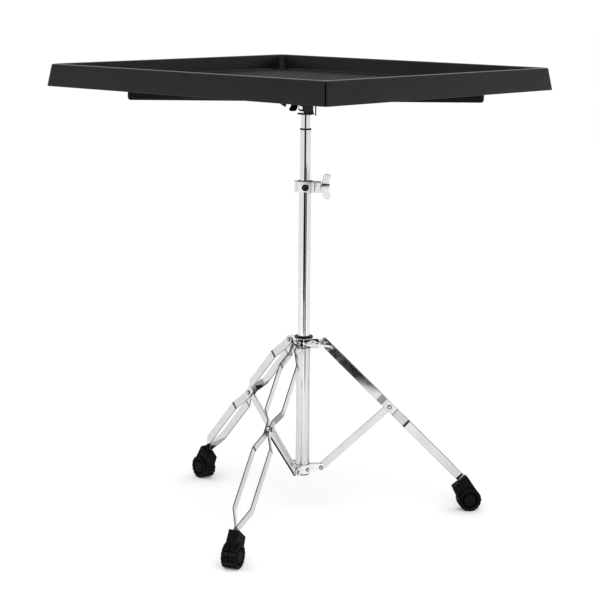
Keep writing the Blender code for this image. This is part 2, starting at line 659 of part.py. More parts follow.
def bottom_bracket():
    bracket = finish("bottom_bracket", cylinder(0.0164, BRACKET_LOW, BRACKET_HIGH, 32), CHROME)
    outline = ((0.0152, BRACKET_LOW + 0.0015), (LUG_REACH, BRACKET_LOW + 0.0025))
    outline += ((LUG_REACH, BRACKET_HIGH - 0.0004), (0.0152, BRACKET_HIGH - 0.0004))
    outline = rounded(outline, (0.0, 0.005, 0.005, 0.0), 3)
    inner = BRACE_T / 2 + GAP + 0.0001
    outer = inner + 0.0018
    cutters = []
    for index, azimuth in enumerate(LEG_AZIMUTHS, 1):
        place = leg_plane(azimuth)
        spot = place @ Matrix.Translation((LOW_PIVOT.x, LOW_PIVOT.y, 0))
        for tag, low, high in (("a", inner, outer), ("b", -outer, -inner)):
            plate = prism(outline, low, high)
            boolean(bracket, "UNION", finish(f"join_lug_{index}{tag}", plate, CHROME, place, helper=True))
            sign = 1 if tag == "a" else -1
            reach = outer + 0.0001
            profile = [(0.0024, inner + 0.0001), (0.0024, reach), (0.0042, reach)]
            profile += [(0.0042, reach + 0.0009), (0.0026, reach + 0.0018)]
            profile = [(radius, sign * height) for radius, height in profile]
            origin = in_plane(azimuth, LOW_PIVOT, sign * outer)
            finish(f"lug_rivet_{index}{tag}", lathe(profile, 10), ZINC, spot, origin)
        hole = cylinder(0.0027, -0.02, 0.02, 12)
        cutters.append(finish(f"cut_lug_{index}", hole, CHROME, spot, helper=True))
        middle = along(azimuth + 60, (BRACKET_LOW + BRACKET_HIGH) / 2)
        hole = cylinder(0.0023, 0.0100, 0.0300, 12)
        cutters.append(finish(f"cut_band_{index}", hole, CHROME, middle, helper=True))
        profile = [(0.0020, 0.0147), (0.0020, 0.0167), (0.0040, 0.0167), (0.0040, 0.0175), (0.0025, 0.0184)]
        finish(f"band_rivet_{index}", lathe(profile, 10), ZINC, middle, middle @ Vector((0, 0, 0.0167)))
    cutters.append(finish("cut_bracket_bore", cylinder(SLEEVE_R + GAP, 0.05, 0.15, 32), CHROME, helper=True))
    boolean(bracket, "DIFFERENCE", *cutters)


tray()
tray_mount(tray_bar())
mast()
height_clamp()
leg_slider()
tripod()
bottom_bracket()
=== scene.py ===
"""Percussion table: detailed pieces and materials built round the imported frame.

Metres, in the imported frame's axes. Shapes are drawn about the mast's axis and then moved to it.
"""

import math

import bmesh
import bpy
from mathutils import Matrix, Vector


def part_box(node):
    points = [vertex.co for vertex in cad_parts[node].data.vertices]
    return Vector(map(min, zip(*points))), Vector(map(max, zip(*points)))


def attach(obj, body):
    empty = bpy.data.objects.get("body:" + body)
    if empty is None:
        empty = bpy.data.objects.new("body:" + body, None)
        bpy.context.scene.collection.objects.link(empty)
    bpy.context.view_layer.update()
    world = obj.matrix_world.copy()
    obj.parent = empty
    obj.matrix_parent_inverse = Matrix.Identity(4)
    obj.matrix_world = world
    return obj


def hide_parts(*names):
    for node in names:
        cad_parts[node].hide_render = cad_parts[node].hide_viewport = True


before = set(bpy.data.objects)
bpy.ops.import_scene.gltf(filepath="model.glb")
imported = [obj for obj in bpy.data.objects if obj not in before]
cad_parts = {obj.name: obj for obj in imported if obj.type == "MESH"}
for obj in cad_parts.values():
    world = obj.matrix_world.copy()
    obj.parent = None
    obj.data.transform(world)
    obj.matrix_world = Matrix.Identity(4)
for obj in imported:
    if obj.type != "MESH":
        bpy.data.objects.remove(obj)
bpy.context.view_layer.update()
# The clearance kept between pieces that touch
GAP = 0.0003


def centre_of(node):
    low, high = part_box(node)
    return (low + high) / 2


# Where the mast's axis meets the floor
MAST = centre_of("base_tube")
MAST.z = 0.0
TRAY_CENTRE = centre_of("tray_shell") - MAST
TRAY_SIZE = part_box("tray_shell")[1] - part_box("tray_shell")[0]
RIM_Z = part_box("tray_shell")[1].z


# ---------------------------------------------------------------- materials
class Nodes:
    """A small helper round one material's node tree."""

    def __init__(self, name, colour, metallic, roughness):
        self.mat = bpy.data.materials.new(name)
        self.mat.use_nodes = True
        self.tree = self.mat.node_tree
        self.shader = self.tree.nodes["Principled BSDF"]
        self.shader.inputs["Base Color"].default_value = (*colour, 1.0)
        self.shader.inputs["Metallic"].default_value = metallic
        self.shader.inputs["Roughness"].default_value = roughness
        self.coords = self.tree.nodes.new("ShaderNodeTexCoord").outputs["Object"]

    def node(self, kind, inputs=None, **settings):
        made = self.tree.nodes.new(kind)
        for key, value in settings.items():
            setattr(made, key, value)
        for key, value in (inputs or {}).items():
            if isinstance(value, bpy.types.NodeSocket):
                self.tree.links.new(value, made.inputs[key])
            else:
                made.inputs[key].default_value = value
        return made

    def stretched(self, scale):
        return self.node("ShaderNodeMapping", {"Vector": self.coords, "Scale": scale}).outputs["Vector"]

    def noise(self, scale, detail=4.0, rough=0.55, vector=None):
        inputs = {"Vector": vector or self.coords, "Scale": scale, "Detail": detail, "Roughness": rough}
        return self.node("ShaderNodeTexNoise", inputs).outputs["Fac"]

    def ranged(self, value, low, high, new_low=0.0, new_high=1.0):
        inputs = {"Value": value, "From Min": low, "From Max": high, "To Min": new_low, "To Max": new_high}
        return self.node("ShaderNodeMapRange", inputs).outputs["Result"]

    def math(self, operation, a, b):
        return self.node("ShaderNodeMath", {0: a, 1: b}, operation=operation).outputs[0]

    def mix(self, factor, a, b):
        inputs = {"Factor": factor, "A": (*a, 1.0) if isinstance(a, tuple) else a, "B": (*b, 1.0)}
        made = self.node("ShaderNodeMix", data_type="RGBA")
        for key, value in inputs.items():
            socket = [s for s in made.inputs if s.name == key and s.enabled][0]
            if isinstance(value, bpy.types.NodeSocket):
                self.tree.links.new(value, socket)
            else:
                socket.default_value = value
        return [s for s in made.outputs if s.enabled][0]

    def edge(self, low, high):
        """0 on flat and sunken places, 1 on sharp outer edges; with low above high, the other way round."""
        pointed = self.node("ShaderNodeNewGeometry").outputs["Pointiness"]
        return self.ranged(pointed, low, high)

    def set(self, name, value):
        self.tree.links.new(value, self.shader.inputs[name])

    def bump(self, *layers):
        """Layers of (height, strength, distance), stacked."""
        normal = None
        for height, strength, distance in layers:
            inputs = {"Height": height, "Strength": strength, "Distance": distance}
            if normal is not None:
                inputs["Normal"] = normal
            normal = self.node("ShaderNodeBump", inputs).outputs["Normal"]
        self.set("Normal", normal)


def tray_plastic():
    """Satin moulded plastic with a fine leather-like grain, faint handling marks and a painted highlight
    along the top of the rim.
    """
    n = Nodes("tray_plastic_finish", (0.009, 0.009, 0.010), 0.0, 0.42)
    up = n.node("ShaderNodeSeparateXYZ", {0: n.node("ShaderNodeNewGeometry").outputs["Normal"]}).outputs["Z"]
    height = n.node("ShaderNodeSeparateXYZ", {0: n.coords}).outputs["Z"]
    level = n.ranged(n.math("ABSOLUTE", up, 0.0), 0.90, 0.98)
    rim = n.ranged(height, RIM_Z - 0.0045, RIM_Z - 0.0030)
    floor = n.math("MULTIPLY", level, n.math("SUBTRACT", 1.0, rim))
    n.shader.inputs["Specular IOR Level"].default_value = 0.13
    cells = n.node("ShaderNodeTexVoronoi", {"Vector": n.coords, "Scale": 900.0}).outputs["Distance"]
    fine = n.noise(2200.0, 2.0)
    cloud = n.noise(9.0, 3.0)
    scuffs = n.noise(55.0, 6.0, 0.7, n.stretched((1.0, 0.12, 1.0)))
    colour = n.mix(n.ranged(cloud, 0.35, 0.65), (0.0050, 0.0050, 0.0056), (0.0072, 0.0072, 0.0078))
    colour = n.mix(n.math("MULTIPLY", n.edge(0.52, 0.60), 0.4), colour, (0.030, 0.030, 0.032))
    # Painted highlight: the upward faces at the top of the rim are made lighter.
    painted_rim_highlight = n.math("MULTIPLY", rim, n.ranged(up, 0.6, 0.9))
    n.set("Base Color", n.mix(n.math("MULTIPLY", painted_rim_highlight, 0.7), colour, (0.10, 0.10, 0.105)))
    rough = n.math("ADD", n.ranged(cloud, 0.3, 0.7, 0.24, 0.30), n.ranged(scuffs, 0.55, 0.75, 0.0, 0.08))
    rough = n.math("ADD", rough, n.ranged(floor, 0.0, 1.0, 0.0, 0.50))
    n.set("Roughness", n.math("SUBTRACT", rough, n.ranged(rim, 0.0, 1.0, 0.0, 0.10)))
    n.bump((cells, 0.16, 0.00025), (fine, 0.10, 0.00010), (scuffs, 0.02, 0.00005))
    return n.mat


def black_steel():
    """Black stoved paint with a light orange-peel texture."""
    n = Nodes("black_steel_finish", (0.006, 0.006, 0.0065), 0.0, 0.40)
    n.shader.inputs["Specular IOR Level"].default_value = 0.14
    peel = n.noise(650.0, 2.0, 0.4)
    cloud = n.noise(30.0, 4.0)
    worn = n.math("MULTIPLY", n.edge(0.54, 0.64), 0.35)
    colour = n.mix(worn, (0.0055, 0.0055, 0.0060), (0.05, 0.05, 0.052))
    n.set("Base Color", colour)
    n.set("Roughness", n.ranged(cloud, 0.3, 0.7, 0.34, 0.48))
    n.bump((peel, 0.18, 0.00018), (cloud, 0.04, 0.0004))
    return n.mat


def chrome(name="chrome_finish", rough=0.045, tint=(0.72, 0.72, 0.73), grain=None, metallic=1.0):
    """Plated steel: nearly a mirror, with faint drawing lines, smears and slightly uneven plating."""
    n = Nodes(name, tint, metallic, rough)
    smear = n.noise(24.0, 5.0, 0.6)
    lines = n.noise(700.0, 3.0, 0.5, n.stretched(grain or (1.0, 1.0, 0.03)))
    wave = n.noise(60.0, 2.0, 0.4)
    dark = tuple(c * 0.93 for c in tint)
    n.set("Base Color", n.mix(n.ranged(smear, 0.40, 0.70), tint, dark))
    rough_map = n.ranged(smear, 0.35, 0.70, rough * 0.7, rough * 1.7)
    n.set("Roughness", n.math("ADD", rough_map, n.ranged(lines, 0.55, 0.8, 0.0, 0.03)))
    n.bump((lines, 0.020, 0.00005), (wave, 0.008, 0.0004))
    return n.mat


def cast_chrome():
    """Plating over a die casting, which keeps a soft unevenness, with painted shade darkening its recesses.
    """
    n = Nodes("cast_chrome_finish", (0.74, 0.74, 0.75), 1.0, 0.12)
    skin = n.noise(380.0, 3.0, 0.6)
    smear = n.noise(40.0, 4.0)
    painted_hollow_shade = n.edge(0.50, 0.42)
    colour = n.mix(n.ranged(smear, 0.4, 0.7), (0.76, 0.76, 0.77), (0.68, 0.68, 0.70))
    # Painted shade: the sunken places are darkened towards near black.
    n.set("Base Color", n.mix(n.math("MULTIPLY", painted_hollow_shade, 0.75), colour, (0.10, 0.10, 0.105)))
    n.set("Roughness", n.ranged(skin, 0.3, 0.7, 0.08, 0.20))
    n.bump((skin, 0.07, 0.00025), (smear, 0.04, 0.0006))
    return n.mat


def nylon():
    n = Nodes("nylon_finish", (0.005, 0.005, 0.006), 0.0, 0.45)
    n.shader.inputs["Specular IOR Level"].default_value = 0.12
    grain = n.noise(900.0, 3.0)
    cloud = n.noise(60.0, 3.0)
    colour = n.mix(n.ranged(cloud, 0.35, 0.65), (0.0040, 0.0040, 0.0046), (0.0070, 0.0070, 0.0078))
    n.set("Base Color", colour)
    n.set("Roughness", n.ranged(grain, 0.3, 0.7, 0.38, 0.55))
    n.bump((grain, 0.12, 0.00012))
    return n.mat


def rubber(name, gloss, tone):
    """Moulded rubber, dull, with a painted highlight along its sharp edges."""
    n = Nodes(name, (0.006, 0.006, 0.007), 0.0, 0.68)
    n.shader.inputs["Specular IOR Level"].default_value = gloss
    skin = n.noise(1100.0, 3.0, 0.6)
    cloud = n.noise(70.0, 5.0, 0.65)
    high = tuple(c * tone for c in (0.0044, 0.0044, 0.0048))
    low = tuple(c * tone for c in (0.0026, 0.0026, 0.0029))
    colour = n.mix(n.ranged(cloud, 0.35, 0.7), low, high)
    # Painted highlight: the sharp edges are made lighter.
    colour = n.mix(n.math("MULTIPLY", n.edge(0.54, 0.64), 0.5), colour, (0.024, 0.024, 0.025))
    n.set("Base Color", colour)
    n.set("Roughness", n.ranged(cloud, 0.3, 0.7, 0.58, 0.78))
    n.bump((skin, 0.22, 0.00015), (cloud, 0.05, 0.0004))
    return n.mat


def zinc():
    n = Nodes("zinc_finish", (0.60, 0.60, 0.62), 1.0, 0.24)
    rings = n.noise(900.0, 2.0, 0.5)
    cloud = n.noise(120.0, 4.0)
    n.set("Base Color", n.mix(n.ranged(cloud, 0.35, 0.65), (0.66, 0.66, 0.67), (0.50, 0.50, 0.52)))
    n.set("Roughness", n.ranged(rings, 0.3, 0.7, 0.16, 0.34))
    n.bump((rings, 0.06, 0.00010))
    return n.mat


TRAY_PLASTIC = tray_plastic()
BLACK_STEEL = black_steel()
CHROME = chrome()
STRIP_CHROME = chrome("strip_chrome_finish", 0.085, (0.62, 0.62, 0.63), (1.0, 1.0, 1.0))
SLEEVE_CHROME = chrome("sleeve_chrome_finish", 0.12, (0.60, 0.60, 0.61))
SATIN_CHROME = chrome("satin_chrome_finish", 0.38, (0.71, 0.71, 0.72), metallic=0.15)
# Near black plating, painted on edges, upward faces, rims, troughs and holes as shade and dark reflections.
PAINTED_SHADE_CHROME = chrome("painted_shade_chrome_finish", 0.30, (0.10, 0.10, 0.105))
# Grey plating for painted reflection bands across the strips' bends.
PAINTED_BAND_CHROME = chrome("painted_band_chrome_finish", 0.14, (0.30, 0.30, 0.31))
CAST_CHROME = cast_chrome()
NYLON = nylon()
RUBBER = rubber("rubber_finish", 0.055, 1.0)
# Near black rubber without gloss, painted into the feet's grooves, slots and rib roots and down the tray's
# corners as shade.
PAINTED_SHADE_BLACK = rubber("painted_shade_black_finish", 0.0, 0.2)
ZINC = zinc()
PLATED = (SATIN_CHROME, SLEEVE_CHROME, PAINTED_BAND_CHROME, PAINTED_SHADE_CHROME, CHROME, STRIP_CHROME, CAST_CHROME)
SLOTS = {mat: "chrome" for mat in PLATED}
SLOTS[TRAY_PLASTIC] = "tray_plastic"
SLOTS[BLACK_STEEL] = "black_steel"
SLOTS[NYLON] = "black_nylon"
SLOTS[RUBBER] = SLOTS[PAINTED_SHADE_BLACK] = "foot_rubber"
SLOTS[ZINC] = "zinc_fastener"


# ---------------------------------------------------------------- shapes
# Outer radii of the tubes, and of the shanks of pins and bolts
TOP_R = 0.009525
MID_R = 0.0111
BASE_R = 0.0127
SLEEVE_R = 0.0143
PIN_R = 0.0030
SWAP_YZ = Matrix(((1, 0, 0, 0), (0, 0, 1, 0), (0, 1, 0, 0), (0, 0, 0, 1)))


def about_z(degrees):
    return Matrix.Rotation(math.radians(degrees), 4, "Z")


def shift(x=0.0, y=0.0, z=0.0):
    return Matrix.Translation((x, y, z))


def along(azimuth, height, side=0.0):
    """Maps local +Z to the horizontal direction of the azimuth."""
    return about_z(azimuth) @ shift(0, side, height) @ Matrix.Rotation(math.radians(90), 4, "Y")


def leg_plane(azimuth):
    """Maps (distance from the mast, height, sideways) to the frame."""
    return about_z(azimuth) @ SWAP_YZ


def shell_of_rings(rings, closed=False):
    bm = bmesh.new()
    rows = [[bm.verts.new(point) for point in ring] for ring in rings]
    pairs = list(zip(rows, rows[1:]))
    if closed:
        pairs.append((rows[-1], rows[0]))
    for near, far in pairs:
        for i in range(len(near)):
            j = (i + 1) % len(near)
            bm.faces.new((near[i], near[j], far[j], far[i]))
    if not closed:
        bm.faces.new(rows[0])
        bm.faces.new(rows[-1])
    return bm


def lathe(profile, segments=64, ring=False):
    turn = [2 * math.pi * i / segments for i in range(segments)]
    rings = [[(r * math.cos(a), r * math.sin(a), h) for a in turn] for r, h in profile]
    return shell_of_rings(rings, closed=ring)


def cylinder(radius, low, high, segments=48, chamfer=0.0):
    if not chamfer:
        return lathe([(radius, low), (radius, high)], segments)
    rounded_ends = []
    for k in range(4):
        a = math.radians(30 * k)
        rounded_ends.append((radius - chamfer * (1 - math.sin(a)), low + chamfer * (1 - math.cos(a))))
    profile = rounded_ends + [(r, high + low - h) for r, h in reversed(rounded_ends)]
    return lathe(profile, segments)


def tube(outer, inner, low, high, segments=96, lip=0.0004):
    profile = [(outer - lip, low), (outer, low + lip), (outer, high - lip), (outer - lip, high)]
    profile += [(inner, high), (inner, low)]
    return lathe(profile, segments, ring=True)


def box(low, high):
    corners = ((low[0], low[1]), (high[0], low[1]), (high[0], high[1]), (low[0], high[1]))
    return shell_of_rings([[(x, y, z) for x, y in corners] for z in (low[2], high[2])])


def prism(outline, low, high):
    return shell_of_rings([[(a, b, c) for a, b in outline] for c in (low, high)])


def rounded(outline, radii, steps=7):
    points = []
    count = len(outline)
    for i, radius in enumerate(radii):
        here = Vector(outline[i])
        back = (Vector(outline[i - 1]) - here).normalized()
        ahead = (Vector(outline[(i + 1) % count]) - here).normalized()
        if radius <= 0:
            points.append(here)
            continue
        half = back.angle(ahead) / 2
        centre = here + (back + ahead).normalized() * radius / math.sin(half)
        start = here + back * radius / math.tan(half) - centre
        end = here + ahead * radius / math.tan(half) - centre
        sweep = start.angle_signed(end)
        for k in range(steps + 1):
            points.append(centre + Matrix.Rotation(-sweep * k / steps, 2) @ start)
    return [(p.x, p.y) for p in points]


def linked(name, data):
    obj = bpy.data.objects.new(name, data)
    bpy.context.scene.collection.objects.link(obj)
    return obj


def solid(name, bm, mat, matrix=None):
    """An object from a bmesh drawn about the mast."""
    if matrix is not None:
        bm.transform(matrix)
    bmesh.ops.recalc_face_normals(bm, faces=bm.faces)
    bm.transform(Matrix.Translation(MAST))
    mesh = bpy.data.meshes.new(name)
    bm.to_mesh(mesh)
    bm.free()
    mesh.materials.append(mat)
    return linked(name, mesh)


def shape(obj, adds=(), cuts=(), bevel=0.0, segments=3, angle=32, sharp=38):
    """Joins and cuts with other solids, rounds the edges, and keeps the result as the object's mesh."""
    for operation, others in (("UNION", adds), ("DIFFERENCE", cuts)):
        for other in others:
            modifier = obj.modifiers.new("shape", "BOOLEAN")
            modifier.operation = operation
            modifier.solver = "EXACT"
            modifier.material_mode = "TRANSFER"
            modifier.object = other
    if bevel:
        modifier = obj.modifiers.new("round", "BEVEL")
        modifier.width = bevel
        modifier.segments = segments
        modifier.limit_method = "ANGLE"
        modifier.angle_limit = math.radians(angle)
    if obj.modifiers:
        graph = bpy.context.evaluated_depsgraph_get()
        mesh = bpy.data.meshes.new_from_object(obj.evaluated_get(graph))
        obj.modifiers.clear()
        obj.data = mesh
    for other in (*adds, *cuts):
        bpy.data.objects.remove(other, do_unlink=True)
    obj.data.polygons.foreach_set("use_smooth", [True] * len(obj.data.polygons))
    obj.data.set_sharp_from_angle(angle=math.radians(sharp))
    weighted = obj.modifiers.new("weighted", "WEIGHTED_NORMAL")
    weighted.keep_sharp = True
    return obj


def repaint(obj, mat, test):
    """Gives another material to the faces that pass the test of (centre from the mast, normal)."""
    obj.data.materials.append(mat)
    index = len(obj.data.materials) - 1
    for face in obj.data.polygons:
        if test(face.center - MAST, face.normal):
            face.material_index = index
    return obj


def pin_hole(mat, spot, radius=PIN_R + GAP):
    return solid("hole", cylinder(radius, -0.02, 0.02, 32), mat, spot)


def turned_ring(node, body, profile, segments=72):
    place(shape(solid(node, lathe(profile, segments, ring=True), NYLON)), body, node)


def place(obj, body, *nodes):
    """Puts a finished piece on its body, in place of these CAD nodes."""
    if nodes:
        obj.name = nodes[0] + "_detail"
        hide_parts(*nodes)
    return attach(obj, body)


# ---------------------------------------------------------------- tray
def rounded_rectangle(half_x, half_y, radius, height, steps=10):
    ring = []
    for corner in range(4):
        sx = 1 if corner in (0, 3) else -1
        sy = 1 if corner in (0, 1) else -1
        for k in range(steps + 1):
            angle = math.radians(90 * corner + 90 * k / steps)
            x = sx * (half_x - radius) + radius * math.cos(angle)
            y = sy * (half_y - radius) + radius * math.sin(angle)
            ring.append((x, y, height))
    return ring


# Depths below the top of the rim, and the skirt's reach past it
FLOOR_DROP = 0.0327
SKIRT_DROP = 0.0440
SKIRT_FLARE = 0.0065
FLOOR_SHEET = 0.0032
INNER_FILLET = 0.0045
INNER_SLOPE = 0.0042 / 0.0279


def tray():
    """A thin shell: floor, filleted inner wall, rolled rim and flared skirt."""
    # (outwards from the rim, depth, corner radius)
    section = []
    foot = -0.0066 - INNER_SLOPE * (FLOOR_DROP - INNER_FILLET - 0.0024)
    for k in range(7):
        a = math.radians(90 * k / 6)
        inwards = INNER_FILLET * (1 - math.sin(a))
        section.append((foot - inwards, FLOOR_DROP - INNER_FILLET * (1 - math.cos(a)), 0.0125))
    rim_x, rim_half = -0.00325, 0.00335
    for k in range(13):
        a = math.pi - math.pi * k / 12
        radius = 0.0095 - 0.0015 * k / 12
        section.append((rim_x + rim_half * math.cos(a), 0.0026 - 0.0026 * math.sin(a), radius))
    section += [
        (SKIRT_FLARE - 0.0001, SKIRT_DROP - 0.0012, 0.0080),
        (SKIRT_FLARE - 0.0002, SKIRT_DROP - 0.0004, 0.0078),
        (SKIRT_FLARE - 0.0008, SKIRT_DROP, 0.0074),
        (SKIRT_FLARE - 0.0020, SKIRT_DROP, 0.0066),
        (SKIRT_FLARE - 0.0026, SKIRT_DROP - 0.0006, 0.0062),
        (-0.0026, 0.0040, 0.0056),
        (-0.0034, 0.0034, 0.0074),
        (-0.0042, 0.0042, 0.0092),
        (-0.0084, FLOOR_DROP, 0.0112),
        (-0.0100, FLOOR_DROP + FLOOR_SHEET, 0.0120),
    ]
    half_x = TRAY_SIZE.x / 2 - SKIRT_FLARE
    half_y = TRAY_SIZE.y / 2 - SKIRT_FLARE
    rings = [rounded_rectangle(half_x + o, half_y + o, r, RIM_Z - d) for o, d, r in section]
    shell = solid("tray", shell_of_rings(rings), TRAY_PLASTIC, shift(TRAY_CENTRE.x, TRAY_CENTRE.y))
    shape(shell, sharp=50)

    # A painted shade line down each outer corner of the skirt
    def painted_corner_shade(c, n):
        return min(abs(n.x), abs(n.y)) > 0.60 and c.z < RIM_Z - 0.0028 and c.dot(n) > 0.0

    place(repaint(shell, PAINTED_SHADE_BLACK, painted_corner_shade), "tray", "tray_shell")


tray()


# ---------------------------------------------------------------- under the tray
# The bar lies along the diagonal of the rim, which is 0.7245 by 0.6738
BAR_AZIMUTH = math.degrees(math.atan2(0.6738, 0.7245))
BAR_HALF = 0.352
BAR_WIDTH = 0.036
BAR_SHEET = 0.002
BAR_BOTTOM = 0.857
FLOOR_UNDER = RIM_Z - FLOOR_DROP - FLOOR_SHEET
BAR_TOP = FLOOR_UNDER - GAP
NOTCH_HALF = 0.058
PLATE_SHEET = 0.0025
PLATE_LOW = BAR_TOP - BAR_SHEET - GAP - PLATE_SHEET
# The clamp and the mount face this way, with their bolts to the right and to the left of it
CLAMP_AZIMUTH = 41.9
FRONT_AZIMUTH = CLAMP_AZIMUTH - 90
LEFT_AZIMUTH = CLAMP_AZIMUTH + 180
CLAMP = about_z(CLAMP_AZIMUTH)
SOCKET_LOW = 0.8468
SOCKET_TOP = PLATE_LOW - GAP
SADDLE_LOW = 0.8331
WASHER_LOW = 0.8303
WASHER_HIGH = 0.8328
TAB_LOW = 0.8278
# Heights of the bolts, and where each winged head starts along its bolt
MOUNT_BOLT_Z = 0.8538
MOUNT_WING_AT = 0.0142


def cross_screw(node, spot, under):
    """A pan head with a cross recess, its seat at the given height, its shank going up."""
    head = [(0.0002, under - 0.0026), (0.0018, under - 0.0025), (0.0032, under - 0.0020)]
    head += [(0.0040, under - 0.0011), (0.0042, under - 0.0004), (0.0042, under)]
    head += [(0.0020, under), (0.0020, FLOOR_UNDER + 0.0019)]
    cuts = []
    # Painted shade: the cross recess takes the black paint finish.
    for a, b in ((0.0022, 0.00045), (0.00045, 0.0022)):
        cuts.append(solid("recess", box((-a, -b, under - 0.0040), (a, b, under - 0.0012)), BLACK_STEEL, spot))
    place(shape(solid(node, lathe(head, 32), ZINC, spot), cuts=cuts), "tray", node)


def tray_bar():
    turn = about_z(BAR_AZIMUTH)
    corners = ((-BAR_HALF, BAR_BOTTOM), (BAR_HALF, BAR_BOTTOM), (BAR_HALF, BAR_TOP), (-BAR_HALF, BAR_TOP))
    outline = rounded(corners, (0.006, 0.006, 0.0, 0.0))
    bar = solid("bar", prism(outline, -BAR_WIDTH / 2, BAR_WIDTH / 2), BLACK_STEEL, turn @ SWAP_YZ)
    shape(bar, bevel=0.0016, segments=4)
    inner = BAR_WIDTH / 2 - BAR_SHEET
    cuts = [
        box((-0.4, -inner, BAR_BOTTOM - 0.01), (0.4, inner, BAR_TOP - BAR_SHEET)),
        box((-NOTCH_HALF, -0.03, BAR_BOTTOM - 0.012), (NOTCH_HALF, 0.03, 0.8805)),
    ]
    for reach in (-0.24, -0.12, 0.12, 0.24):
        near, far = reach - 0.018, reach + 0.018
        slot = ((near, -0.005), (far, -0.005), (far, 0.005), (near, 0.005))
        cuts.append(prism(rounded(slot, (0.0045,) * 4), BAR_TOP - 0.006, BAR_TOP + 0.002))
    cuts = [solid("cut", bm, BLACK_STEEL, turn) for bm in cuts]
    tongue = ((-0.0620, 0.8600), (-0.0580, 0.8572), (-0.0412, 0.8452))
    tongue += ((-0.0372, 0.8535), (-0.0372, 0.8660), (-0.0620, 0.8720))
    shape(bar, cuts=cuts)
    bm = prism(tongue, -BAR_WIDTH / 2, BAR_SHEET - BAR_WIDTH / 2)
    shape(bar, adds=[solid("tongue", bm, BLACK_STEEL, turn @ SWAP_YZ)], bevel=0.0004, segments=2)
    place(bar, "tray", "tray_bar")

    corners = ((-0.052, -0.0154), (0.052, -0.0154), (0.052, 0.0154), (-0.052, 0.0154))
    plate = prism(rounded(corners, (0.005,) * 4), PLATE_LOW, PLATE_LOW + PLATE_SHEET)
    place(shape(solid("plate", plate, BLACK_STEEL, turn), bevel=0.0004), "tray", "mount_plate")
    for index, reach in enumerate((-0.300, -0.038, 0.038, 0.300), 1):
        under = BAR_TOP - BAR_SHEET - GAP if abs(reach) > 0.1 else PLATE_LOW - GAP
        cross_screw(f"tray_screw_{index}", turn @ shift(reach), under)


def tray_mount():
    low, top = SOCKET_LOW, SOCKET_TOP
    profile = [(0.0135, low + 0.0005), (0.0135, top - 0.0030), (0.0142, top - 0.0018)]
    profile += [(0.0160, top - 0.0004), (0.0162, top), (TOP_R + GAP, top)]
    profile += [(TOP_R + GAP, low), (0.0130, low)]
    socket = solid("socket", lathe(profile, 72, ring=True), BLACK_STEEL)
    bolt = along(LEFT_AZIMUTH, MOUNT_BOLT_Z)
    boss = solid("boss", cylinder(0.0070, 0.0110, 0.0139, 40, 0.0006), BLACK_STEEL, bolt)
    hole = solid("hole", cylinder(PIN_R + GAP, 0.0060, 0.0300, 32), BLACK_STEEL, bolt)
    place(shape(socket, adds=[boss], cuts=[hole], bevel=0.0003, segments=2), "tray", "mount_socket")

    # The saddle wraps the tube's front, right and back, and a strap loops from it towards the bolt.
    outline = ((-0.0046, -0.0150), (0.0118, -0.0150), (0.0150, 0.0), (0.0118, 0.0130), (-0.0046, 0.0130))
    outline = rounded(outline, (0.001, 0.003, 0.004, 0.004, 0.001))
    low = SADDLE_LOW
    saddle = solid("saddle", prism(outline, low, SOCKET_LOW - GAP), BLACK_STEEL, CLAMP)
    skirt = ((-0.0046, -0.0158), (0.0150, -0.0158), (0.0158, 0.0136), (-0.0046, 0.0136))
    skirt = prism(rounded(skirt, (0.001, 0.004, 0.004, 0.001)), low, low + 0.0016)
    skirt = solid("skirt", skirt, BLACK_STEEL, CLAMP)
    strap = ((-0.0040, 0.8370), (-0.0118, 0.8376), (-0.0149, 0.8398), (-0.0149, 0.8464))
    strap += ((-0.0131, 0.8464), (-0.0131, 0.8420), (-0.0112, 0.8406), (-0.0040, 0.8402))
    strap = rounded(strap, (0.0, 0.004, 0.003, 0.0, 0.0, 0.0015, 0.003, 0.0))
    strap = solid("strap", prism(strap, -0.0145, -0.0070), BLACK_STEEL, CLAMP @ SWAP_YZ)
    bore = solid("bore", cylinder(TOP_R + GAP, low - 0.01, SOCKET_LOW + 0.01, 64), BLACK_STEEL)
    place(shape(saddle, adds=[skirt, strap], cuts=[bore], bevel=0.0003, segments=2), "tray", "mount_saddle")

    low, high = WASHER_LOW, WASHER_HIGH
    profile = ((0.0164, low), (0.0169, 0.8307), (0.0170, 0.8315), (0.0169, 0.8323), (0.0163, high))
    profile += ((TOP_R + GAP, high), (TOP_R + GAP, low))
    turned_ring("mount_washer", "tray", profile)

    corners = ((-0.0100, TAB_LOW), (0.0100, TAB_LOW), (0.0100, SOCKET_TOP), (-0.0100, SOCKET_TOP))
    turn = Matrix(((0, 0, 1, 0), (1, 0, 0, 0), (0, 1, 0, 0), (0, 0, 0, 1)))
    tab = prism(rounded(corners, (0.004, 0.004, 0, 0)), 0.0183, 0.0208)
    tab = solid("tab", tab, BLACK_STEEL, CLAMP @ turn)
    hole = solid("hole", cylinder(0.0026, 0.0, 0.03, 32), BLACK_STEEL, along(CLAMP_AZIMUTH, TAB_LOW + 0.0100))
    place(shape(tab, cuts=[hole], bevel=0.0003, segments=2), "tray", "mount_tab")

    spot = bolt @ shift(0, 0, MOUNT_WING_AT) @ about_z(45)
    mats = (BLACK_STEEL, BLACK_STEEL)
    wing_screw("mount_wing_bolt", "tray_bolt", mats, spot, TOP_R + GAP - MOUNT_WING_AT, 0.92)


# ---------------------------------------------------------------- wing hardware
HUB_R = 0.0066
# One wing from hub to tip: (across, outwards, half thickness), along its near edge and its far edge
WING_NEAR = ((0.0030, 0.0010), (0.0100, 0.0014), (0.0180, 0.0030), (0.0226, 0.0050), (0.0240, 0.0078))
WING_FAR = ((0.0030, 0.0132), (0.0088, 0.0150), (0.0150, 0.0176), (0.0196, 0.0192), (0.0238, 0.0172))
WING_THICK = (0.0032, 0.0024, 0.0019, 0.0017, 0.0012)


